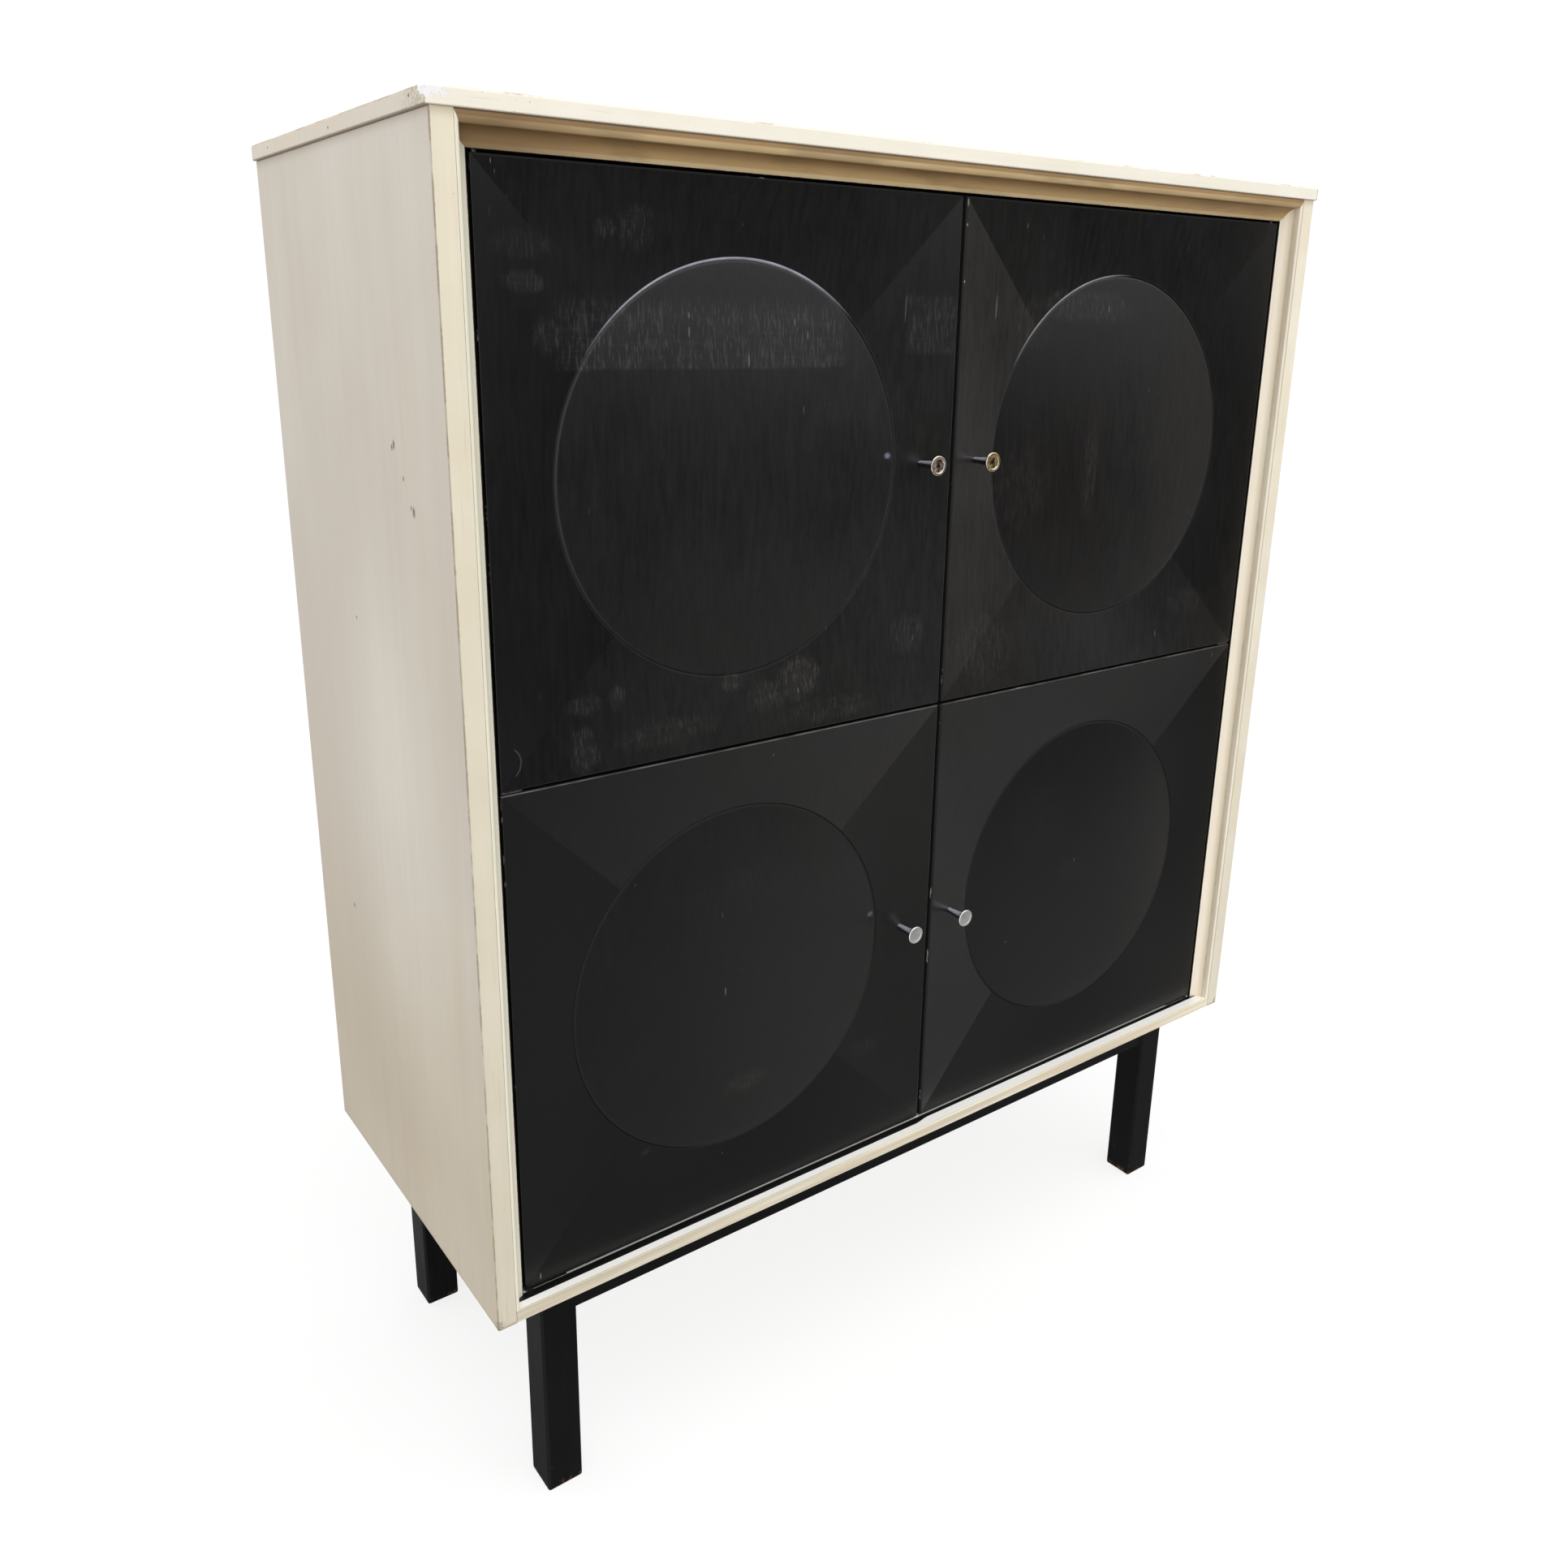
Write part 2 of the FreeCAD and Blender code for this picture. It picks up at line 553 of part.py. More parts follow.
for name, s, z in DOORS:
    x = P.gap_middle / 2 if s > 0 else -(P.gap_middle / 2 + door_w)
    body = new_body("door_" + name, x, door_y, z)
    sk = new_sketch(body, "XZ_Plane", name + "_face")
    rect(sk, 0, 0, door_w, door_h)
    pad(body, sk, P.door_thick, name + "_blank", reverse=True)
    w, h, t = door_w.v, door_h.v, P.door_thick.v
    dress(body, "Chamfer", name + "_arris", 0.8,
          lambda e: on(e, y=0))
    # carved front: four ruled faces fall from the square land to the round rim
    sq = new_sketch(body, "XZ_Plane", name + "_land")
    rect(sq, P.relief_land, P.relief_land, door_w - P.relief_land, door_h - P.relief_land)
    ring = new_sketch(body, "XZ_Plane", name + "_rim", ox=door_w / 2, oy=door_h / 2, oz=-P.rim_depth)
    r = (P.rim_radius + P.rim_groove).v
    c = r * CORNER
    corners = [(-c, -c), (c, -c), (c, c), (-c, c)]
    mids = {0: (0.0, -r), 1: (r, 0.0), 2: (0.0, r), 3: (-r, 0.0)}
    k = (P.rim_radius + P.rim_groove) * CORNER
    outline(ring, [(k if a > 0 else -k, k if b > 0 else -k) for a, b in corners], mids)
    loft = body.newObject("PartDesign::SubtractiveLoft", name + "_carving")
    loft.Profile = sq
    loft.Sections = [ring]
    loft.Ruled = True
    body.Tip = loft
    # shallow dome inside the rim
    prof = new_sketch(body, "YZ_Plane", name + "_dome_section", oy=door_h / 2, oz=door_w / 2)
    rd = P.rim_radius - P.rim_groove
    rise, r0 = P.dome_rise.v, rd.v
    big = (r0 * r0 + rise * rise) / (2 * rise)
    ym = P.rim_depth.v - rise + big - (big * big - (r0 / 2) ** 2) ** 0.5
    outline(prof, [(P.rim_depth + 1, lift(0)), (P.rim_depth - P.dome_rise, lift(0)),
                   (P.rim_depth, rd), (P.rim_depth + 1, rd)], {1: (ym, r0 / 2)})
    dome = body.newObject("PartDesign::Revolution", name + "_dome")
    dome.Profile = prof
    dome.ReferenceAxis = (prof, ["H_Axis"])
    dome.Angle = 360.0
    body.Tip = dome
    # seats and bores for the pivots at top and bottom, bores for the knob and its screw
    outer = lift(0) if s < 0 else door_w
    px = P.axis_in if s < 0 else door_w - P.axis_in
    seat_x = P.axis_in - plate_x if s < 0 else door_w - P.axis_in + plate_x - P.plate_long
    for tag, zz in (("top", door_h - P.plate_thick), ("bottom", lift(0))):
        sub_box(body, "%s_%s_seat" % (name, tag), seat_x, P.axis_in - plate_y, zz,
                P.plate_long, P.plate_wide, P.plate_thick)
    sub_cyl(body, name + "_top_bore", px, P.axis_in, door_h - P.plate_thick - 14, UP, 3.2, 14)
    sub_cyl(body, name + "_bottom_bore", px, P.axis_in, P.plate_thick, UP, 3.2, 14)
    kx = door_w - P.knob_in if s < 0 else P.knob_in
    kz = door_h / 2 + P.knob_up
    sub_cyl(body, name + "_knob_bore", kx, -1, kz, TO_BACK, 3.05, P.knob_bury + 1)
    sub_cyl(body, name + "_screw_bore", kx, P.knob_bury, kz, TO_BACK, 2.2,
            P.door_thick - P.knob_bury)
    sub_cyl(body, name + "_head_bore", kx, P.door_thick - 3.0, kz, TO_BACK, 5.0, 3.0)

# ------------------------------------------------------------------------- knobs
for name, s, z in DOORS:
    kx = (P.gap_middle / 2 + P.knob_in) * s
    body = new_body("knob_" + name, kx, door_y - P.knob_reach, z + door_h / 2 + P.knob_up)
    sk = new_sketch(body, "YZ_Plane", name + "_knob_section")
    R = P.knob_head
    end = P.knob_reach + P.knob_bury
    outline(sk, [(lift(0.6), lift(0)), (lift(0.6), R - 3.1), (lift(0), R - 2.4),
                 (lift(0), R - 0.9), (lift(0.9), R), (lift(1.9), R), (lift(9.5), lift(4.2)),
                 (P.knob_reach + 4, lift(3.0)), (end, lift(3.0)), (end, lift(2.0)),
                 (end - 12, lift(2.0)), (end - 13, lift(0))],
            {3: (0.26, R.v - 0.26), 5: (3.7, 6.15)})
    f = body.newObject("PartDesign::Revolution", name + "_knob_turning")
    f.Profile = sk
    f.ReferenceAxis = (sk, ["H_Axis"])
    f.Angle = 360.0
    body.Tip = f

for name, s, z in DOORS:
    kx = (P.gap_middle / 2 + P.knob_in) * s
    body = new_body("knob_screw_" + name, kx, door_y + P.knob_bury - 9,
                    z + door_h / 2 + P.knob_up)
    sk = new_sketch(body, "YZ_Plane", name + "_screw_section")
    a = P.door_thick - P.knob_bury + 9 - 3.0
    outline(sk, [(lift(0), lift(0)), (lift(0), lift(1.6)), (lift(0.4), lift(2.0)), (a, lift(2.0)),
                 (a, lift(4.0)), (a + 1.6, lift(4.0)), (a + 2.6, lift(2.6)), (a + 2.6, lift(1.4)),
                 (a + 1.3, lift(0))])
    f = body.newObject("PartDesign::Revolution", name + "_screw_turning")
    f.Profile = sk
    f.ReferenceAxis = (sk, ["H_Axis"])
    f.Angle = 360.0
    body.Tip = f

doc.recompute()


# --------------------------------------------- masters for the repeated small pieces
def master_box(name, lx, ly, lz):
    b = doc.addObject("Part::Box", name)
    for prop, s in (("Length", lx), ("Width", ly), ("Height", lz)):
        b.setExpression(prop, lift(s).t)
    return b


def master_cyl(name, r, h, x=0, y=0, z=0):
    c = doc.addObject("Part::Cylinder", name)
    c.setExpression("Radius", lift(r).t)
    c.setExpression("Height", lift(h).t)
    place(c, x, y, z)
    return c


def master_cone(name, r1, r2, h, x=0, y=0, z=0):
    c = doc.addObject("Part::Cone", name)
    c.setExpression("Radius1", lift(r1).t)
    c.setExpression("Radius2", lift(r2).t)
    c.setExpression("Height", lift(h).t)
    place(c, x, y, z)
    return c


def fuse(name, items):
    f = doc.addObject("Part::MultiFuse", name)
    f.Shapes = items
    return f


def cut(name, base, tools):
    t = tools[0] if len(tools) == 1 else fuse(name + "_tools", tools)
    c = doc.addObject("Part::Cut", name)
    c.Base = base
    c.Tool = t
    return c


# wood screws, head flush at z = 0, point down
short_screw = fuse("short_wood_screw", [master_cone("short_head", 1.7, 3.4, 1.9, z=-1.9),
                                        master_cyl("short_shank", 1.7, 6.5, z=-8),
                                        master_cone("short_point", 0.25, 1.7, 2.5, z=-10.5)])
catch_screw = fuse("catch_wood_screw", [master_cone("catch_head", 1.7, 3.4, 1.9, z=-1.9),
                                        master_cyl("catch_shank", 1.7, 17, z=-18.5),
                                        master_cone("catch_point", 0.25, 1.7, 2.5, z=-21)])
screw = fuse("wood_screw", [master_cone("screw_head", 1.7, 3.4, 1.9, z=-1.9),
                            master_cyl("screw_shank", 1.7, 11, z=-12.5),
                            master_cone("screw_point", 0.25, 1.7, 3.0, z=-15.5)])
back_screw = fuse("back_wood_screw", [master_cone("back_head", 1.6, 3.6, 2.2, z=-2.2),
                                      master_cyl("back_shank", 1.6, 12, z=-14),
                                      master_cone("back_point", 0.25, 1.6, 3.0, z=-17)])
base_screw = fuse("base_wood_screw", [master_cone("base_head", 2.2, 4.4, 2.6, z=-2.6),
                                      master_cyl("base_shank", 2.2, 34, z=-36),
                                      master_cone("base_point", 0.3, 2.2, 4.0, z=-40)])

# pivot plate: pin hole near its outer front corner, two countersunk screw holes
SCREW_X = (18.0, 36.0)


def pivot_plate(name, pin_r):
    blank = doc.addObject("Part::Fillet", name + "_blank")
    raw = master_box(name + "_raw", P.plate_long, P.plate_wide, P.plate_thick)
    doc.recompute()
    blank.Base = raw
    picks = []
    for i, e in enumerate(raw.Shape.Edges, start=1):
        if e.BoundBox.ZLength > 1.5:
            picks.append((i, 2.0, 2.0))
    blank.Edges = picks
    tools = [master_cyl(name + "_bore", pin_r, P.plate_thick + 2, x=plate_x, y=plate_y, z=-1)]
    for i, sx in enumerate(SCREW_X):
        tools.append(master_cone("%s_csk%d" % (name, i), 1.75, 3.5, 2.0, x=sx, y=P.plate_wide / 2,
                                 z=P.plate_thick - 1.95))
        tools.append(master_cyl("%s_hole%d" % (name, i), 1.75, P.plate_thick + 2, x=sx,
                                y=P.plate_wide / 2, z=-1))
    return cut(name, blank, tools)


fixed_plate = pivot_plate("fixed_plate", P.pin_radius)
door_plate = pivot_plate("door_plate", P.pin_radius + P.pin_play)
pin_short = master_cyl("pin_short", P.pin_radius, 13.5)
pin_long = master_cyl("pin_long", P.pin_radius, 23)
washer_low = cut("washer_low", master_cyl("washer_low_disc", 5.5, P.gap_bottom - 0.15),
                 [master_cyl("washer_low_hole", P.pin_radius + 0.05, 4, z=-1)])
washer_mid = cut("washer_mid", master_cyl("washer_mid_disc", 5.5, 0.5),
                 [master_cyl("washer_mid_hole", P.pin_radius + 0.05, 4, z=-1)])

# centre bracket: tongue through the seam between the doors, leaf on the middle shelf
TONGUE = 1.6
leaf_lx, leaf_lz = 44.0, 17.0
tongue_len = (inside_y - axis_y + plate_y)
bracket_tongue = master_box("bracket_tongue", 20, tongue_len, TONGUE)
bracket_leaf = master_box("bracket_leaf", leaf_lx, TONGUE, leaf_lz)
place(bracket_leaf, 0, tongue_len - TONGUE, -(leaf_lz - TONGUE) / 2)
bracket_raw = fuse("bracket_raw", [bracket_tongue, bracket_leaf])
csk = []
for i, sx in enumerate((27.0, 38.0)):
    c = master_cone("bracket_csk%d" % i, 3.5, 1.8, 1.9)
    c.Placement = Placement(Vector(0, 0, 0), TO_BACK)
    place(c, sx, tongue_len - TONGUE - 0.02, TONGUE / 2)
    csk.append(c)
bracket = cut("bracket", bracket_raw,
              [master_cyl("bracket_bore", P.pin_radius, 4, x=plate_x, y=plate_y, z=-1)] + csk)

# magnetic catch: housing with a slot for the magnet and a screw hole at each end,
# countersunk at both sides so that it fits either hand
CH = (15.0, 16.0, 46.0)
slot = master_box("housing_slot", 7.0, 13.0, 32.0)
place(slot, 4.0, -1.0, 7.0)
holes = [slot]
for i, hz in enumerate((3.4, CH[2] - 3.4)):
    for tag, x, rot, r, long in (("bore", -1.0, 90, 1.75, CH[0] + 2), ("csk_low", -0.02, 90, 0, 2.0),
                                 ("csk_high", CH[0] + 0.02, -90, 0, 2.0)):
        if r:
            c = master_cyl("housing_%s%d" % (tag, i), r, long)
        else:
            c = master_cone("housing_%s%d" % (tag, i), 3.5, 1.75, long)
        c.Placement = Placement(Vector(0, 0, 0), Rotation(Vector(0, 1, 0), rot))
        place(c, x, 8.0, hz)
        holes.append(c)
housing = cut("housing", master_box("housing_block", CH[0], CH[1], CH[2]), holes)
magnet = master_box("magnet", 7.0, 12.4, 32.0)
strike_raw = master_box("strike_raw", 14.0, 1.2, 40.0)
strike_csk = master_cone("strike_csk", 3.5, 1.8, 1.9)
strike_csk.Placement = Placement(Vector(0, 0, 0), Rotation(Vector(1, 0, 0), 90))
place(strike_csk, 7.0, 1.22, 20.0)
strike = cut("strike", strike_raw, [strike_csk])
peg = master_cyl("peg", P.peg_radius, P.peg_bury * 2)
doc.recompute()


# ------------------------------------------------------- nodes of repeated pieces
def group(label, copies):
    """One node that holds copies of master shapes as separate solids."""
    shapes = []
    for m, pl in copies:
        for solid in m.Shape.Solids:
            c = solid.copy()
            c.Placement = pl.multiply(c.Placement)
            shapes.append(c)
    ob = doc.addObject("Part::Feature", label)
    ob.Shape = Part.Compound(shapes) if len(shapes) > 1 else shapes[0]
    ob.Label = label
    NODES.append(ob)
    return ob


def at(x, y, z, rot=UP):
    return Placement(Vector(lift(x).v, lift(y).v, lift(z).v), rot)


FLIP = Rotation(Vector(0, 1, 0), 180)        # upside down, x reversed
TURN = Rotation(Vector(0, 0, 1), 180)        # turned about Z


def plate_at(s, z, top_face_up):
    """Pivot plate with its pin hole on the axis; countersinks on the open face."""
    x = axis_x.v * s
    y = axis_y.v
    px_, py_ = plate_x.v, plate_y
    wide, thick = P.plate_wide.v, P.plate_thick.v
    zz = lift(z).v
    if s < 0 and top_face_up:
        return Placement(Vector(x - px_, y - py_, zz), UP)
    if s > 0 and not top_face_up:
        return Placement(Vector(x + px_, y - py_, zz + thick), FLIP)
    if s < 0 and not top_face_up:
        # turned about X: y reversed, so the pin hole is shifted to match below
        return Placement(Vector(x - px_, y - py_ + wide, zz + thick), Rotation(Vector(1, 0, 0), 180))
    return Placement(Vector(x + px_, y - py_ + wide, zz), TURN)


def mirrored(master, name):
    """The same plate with its pin hole at the other long edge."""
    m = doc.addObject("Part::Mirroring", name)
    m.Source = master
    m.Normal = (0, 1, 0)
    m.Base = (0, P.plate_wide.v / 2, 0)
    return m


fixed_plate_m = mirrored(fixed_plate, "fixed_plate_other_hand")
door_plate_m = mirrored(door_plate, "door_plate_other_hand")
doc.recompute()


def pick(s, up, plain, other):
    return plain if (s < 0) == up else other


copies = []
screws = []
for s in (-1, 1):
    # under the top moulding, countersinks down; on the strip, countersinks up
    copies.append((pick(s, False, fixed_plate, fixed_plate_m), plate_at(s, open_hi, False)))
    copies.append((pick(s, True, fixed_plate, fixed_plate_m), plate_at(s, open_lo - P.plate_thick, True)))
    for sx in SCREW_X:
        x = (axis_x.v + plate_x.v - sx) * s
        y = axis_y.v - plate_y + P.plate_wide.v / 2
        screws.append((screw, at(x, y, open_hi, Rotation(Vector(1, 0, 0), 180))))
        screws.append((short_screw, at(x, y, open_lo)))
group("fixed_pivot_plates", copies)

copies = []
bracket_m = doc.addObject("Part::Mirroring", "bracket_other_hand")
bracket_m.Source = bracket
bracket_m.Normal = (1, 0, 0)
bracket_m.Base = (0, 0, 0)
doc.recompute()
for s in (-1, 1):
    y0 = axis_y - plate_y
    z0 = seam_z - TONGUE / 2
    if s < 0:
        copies.append((bracket, at(-axis_x - plate_x, y0, z0)))
    else:
        copies.append((bracket_m, at(axis_x + plate_x, y0, z0)))
    for sx in (27.0, 38.0):
        x = (axis_x.v + plate_x.v - sx) * s
        screws.append((screw, at(x, inside_y - TONGUE, seam_z, Rotation(Vector(1, 0, 0), 90))))
group("centre_pivot_brackets", copies)

copies = []
for s in (-1, 1):
    x = axis_x * s
    copies.append((pin_short, at(x, axis_y, open_hi + P.plate_thick - 13.5)))
    copies.append((pin_short, at(x, axis_y, open_lo - P.plate_thick)))
    copies.append((pin_long, at(x, axis_y, seam_z - 11.5)))
group("pivot_pins", copies)

copies = []
for s in (-1, 1):
    x = axis_x * s
    copies.append((washer_low, at(x, axis_y, open_lo)))
    copies.append((washer_mid, at(x, axis_y, seam_z + TONGUE / 2)))
group("pivot_washers", copies)

catch_y = front + P.inner_front - 1.6
housings, magnets = [], []
for name, s, z in DOORS:
    cz = (z + door_h - 63) if z is high_z else (z + door_h - 68)
    x0 = P.panel_thick / 2 if s > 0 else -(P.panel_thick / 2 + CH[0])
    housings.append((housing, at(x0, catch_y, cz)))
    magnets.append((magnet, at(x0 + 4.0, catch_y - 0.4, cz + 7.0)))
    for dz in (3.4, CH[2] - 3.4):
        # driven sideways through the housing's ends into the divider
        rot = Rotation(Vector(0, 1, 0), 90 if s > 0 else -90)
        screws.append((catch_screw, at(x0 + (CH[0] if s > 0 else 0), catch_y + 8.0, cz + dz, rot)))
group("catch_housings", housings)
group("catch_magnets", magnets)
group("small_wood_screws", screws)

for name, s, z in DOORS:
    copies = [(pick(s, True, door_plate, door_plate_m), plate_at(s, z + door_h - P.plate_thick, True)),
              (pick(s, False, door_plate, door_plate_m), plate_at(s, z, False))]
    group("pivot_plates_" + name, copies)
    cz = (z + door_h - 63) if z is high_z else (z + door_h - 68)
    x0 = P.panel_thick / 2 + 0.5 if s > 0 else -(P.panel_thick / 2 + 0.5 + 14.0)
    strike_y = door_y + P.door_thick
    group("strike_plate_" + name, [(strike, at(x0, strike_y, cz + 3))])
    ds = []
    for sx in SCREW_X:
        x = (axis_x.v + plate_x.v - sx) * s
        y = axis_y.v - plate_y + P.plate_wide.v / 2
        ds.append((screw, at(x, y, z + door_h)))
        ds.append((screw, at(x, y, z, Rotation(Vector(1, 0, 0), 180))))
    ds.append((screw, at(x0 + 7.0, strike_y + 1.2, cz + 23, Rotation(Vector(1, 0, 0), -90))))
    group("door_screws_" + name, ds)

# shelf pins, sixteen alike
copies = []
for z in (P.shelf_low_z, P.shelf_high_z):
    for y in (P.peg_front, P.peg_back):
        for x in (-inner - P.peg_bury, -(P.panel_thick / 2) - P.peg_bury,
                  P.panel_thick / 2 - P.peg_bury, inner - P.peg_bury):
            copies.append((peg, at(x, front + y, z - P.peg_radius, TO_RIGHT)))
group("shelf_pins", copies)

# corner blocks: five-sided boards wedged between each leg and its two rails
block_t = 22.0
copies = []
base = []
lx, lf = (leg_x - P.leg_side).v, fy.v + P.leg_side.v
rail_in_y = fy.v + P.rail_setback.v + P.rail_thick.v
rail_in_x = (leg_x - P.rail_setback - P.rail_thick).v
reach = 52.0
front_pts = [(-lx, rail_in_y), (-lx + reach, rail_in_y), (-rail_in_x, lf + reach - (lf - rail_in_y)),
             (-rail_in_x, lf), (-lx, lf)]
rear_leg = ry.v
rear_in = ry.v + P.leg_side.v - P.rail_setback.v - P.rail_thick.v
rear_pts = [(-lx, rear_in), (-lx, rear_leg), (-rail_in_x, rear_leg),
            (-rail_in_x, rear_in - reach), (-lx + reach, rear_in)]
blocks = []
for pts2 in (front_pts, rear_pts):
    for s in (1, -1):
        ring2 = [Vector(x * s, y, P.leg_length.v - block_t) for x, y in pts2]
        face = Part.Face(Part.makePolygon(ring2 + ring2[:1]))
        blocks.append(face.extrude(Vector(0, 0, block_t)))
ob = doc.addObject("Part::Feature", "corner_blocks")
ob.Shape = Part.Compound(blocks)
ob.Label = "corner_blocks"
NODES.append(ob)
for b in blocks:
    c = b.CenterOfMass
    base.append((base_screw, at(c.x, c.y, P.leg_length - block_t, Rotation(Vector(1, 0, 0), 180))))
group("base_screws", base)

# back panel screws round the edge and along the middle shelf
copies = []
TO_FRONT = Rotation(Vector(1, 0, 0), -90)      # screw point turned to -Y
yb = front + P.cab_depth
xs = [-0.88, -0.53, -0.18, 0.18, 0.53, 0.88]
for fx in xs:
    for z in (case_z + P.panel_thick / 2, seam_z):
        copies.append((back_screw, at(inner * fx, yb, z, TO_FRONT)))
for fz in (0.08, 0.28, 0.46, 0.64, 0.84, 0.965):
    z = case_z + P.side_height * fz
    for s in (-1, 1):
        copies.append((back_screw, at((inner + 4.3) * s, yb, z, TO_FRONT)))
for fz in (0.15, 0.35, 0.65, 0.85):
    copies.append((back_screw, at(0, yb, case_z + P.side_height * fz, TO_FRONT)))
group("back_panel_screws", copies)
doc.recompute()

# ----------------------------------------------------------------- check and write
bad = []
for ob in doc.Objects:
    if any(word in ob.State for word in ("Invalid", "Error")):
        bad.append("%s %s" % (ob.Name, ob.State))
names = [ob.Label for ob in NODES]
if len(set(names)) != len(names) or len(names) > 60:
    bad.append("node names")
for ob in NODES:
    if ob.Shape.isNull() or not ob.Shape.isValid() or not ob.Shape.Solids:
        bad.append("shape of " + ob.Label)
if bad:
    raise RuntimeError("; ".join(bad))
for ob in NODES:
    ob.Shape.exportStep("parts/%s.step" % ob.Label)
    bb = ob.Shape.BoundBox
    print("%-26s solids %2d vol %12.1f  x %.2f %.2f  y %.2f %.2f  z %.2f %.2f" % (
        ob.Label, len(ob.Shape.Solids), ob.Shape.Volume, bb.XMin, bb.XMax, bb.YMin, bb.YMax,
        bb.ZMin, bb.ZMax))
print("nodes", len(NODES))
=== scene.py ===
import math

import bpy
import bmesh
import numpy as np
from mathutils import Matrix, Vector


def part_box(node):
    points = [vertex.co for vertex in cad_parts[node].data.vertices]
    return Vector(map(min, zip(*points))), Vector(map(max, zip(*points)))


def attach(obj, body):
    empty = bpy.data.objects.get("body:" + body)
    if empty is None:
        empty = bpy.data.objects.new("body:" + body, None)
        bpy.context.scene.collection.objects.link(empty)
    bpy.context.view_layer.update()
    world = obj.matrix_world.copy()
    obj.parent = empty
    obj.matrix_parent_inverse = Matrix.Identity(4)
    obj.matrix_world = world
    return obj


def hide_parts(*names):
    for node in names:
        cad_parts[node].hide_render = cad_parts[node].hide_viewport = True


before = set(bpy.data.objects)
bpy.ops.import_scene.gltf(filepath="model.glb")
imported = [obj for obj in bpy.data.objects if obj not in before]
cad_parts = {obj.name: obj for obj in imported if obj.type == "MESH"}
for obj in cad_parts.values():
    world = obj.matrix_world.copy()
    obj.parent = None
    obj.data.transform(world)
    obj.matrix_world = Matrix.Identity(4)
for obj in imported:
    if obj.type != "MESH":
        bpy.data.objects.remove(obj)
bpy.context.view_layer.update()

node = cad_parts

# --------------------------------------------------------------- the object's numbers
# Metres, in the frame of the model: +Z up, the doors face -Y.
FRONT = -0.2180                  # front edge of the side panels
DOOR_Y = FRONT + 0.0196          # front plane of the doors
DOOR_T = 0.025
RIM_R, RIM_D, RISE = 0.1879, 0.0113, 0.0105
BOTTOM, TOP_UNDER, TOP_Z = 0.270, 1.334, 1.348
HALF, INNER = 0.550, 0.531
DOORS = ("upper_left", "upper_right", "lower_left", "lower_right")


def srgb(r, g, b):
    """Linear colour of a screen colour given in 0..255."""
    def one(c):
        c /= 255.0
        return c / 12.92 if c <= 0.04045 else ((c + 0.055) / 1.055) ** 2.4
    return (one(r), one(g), one(b), 1.0)


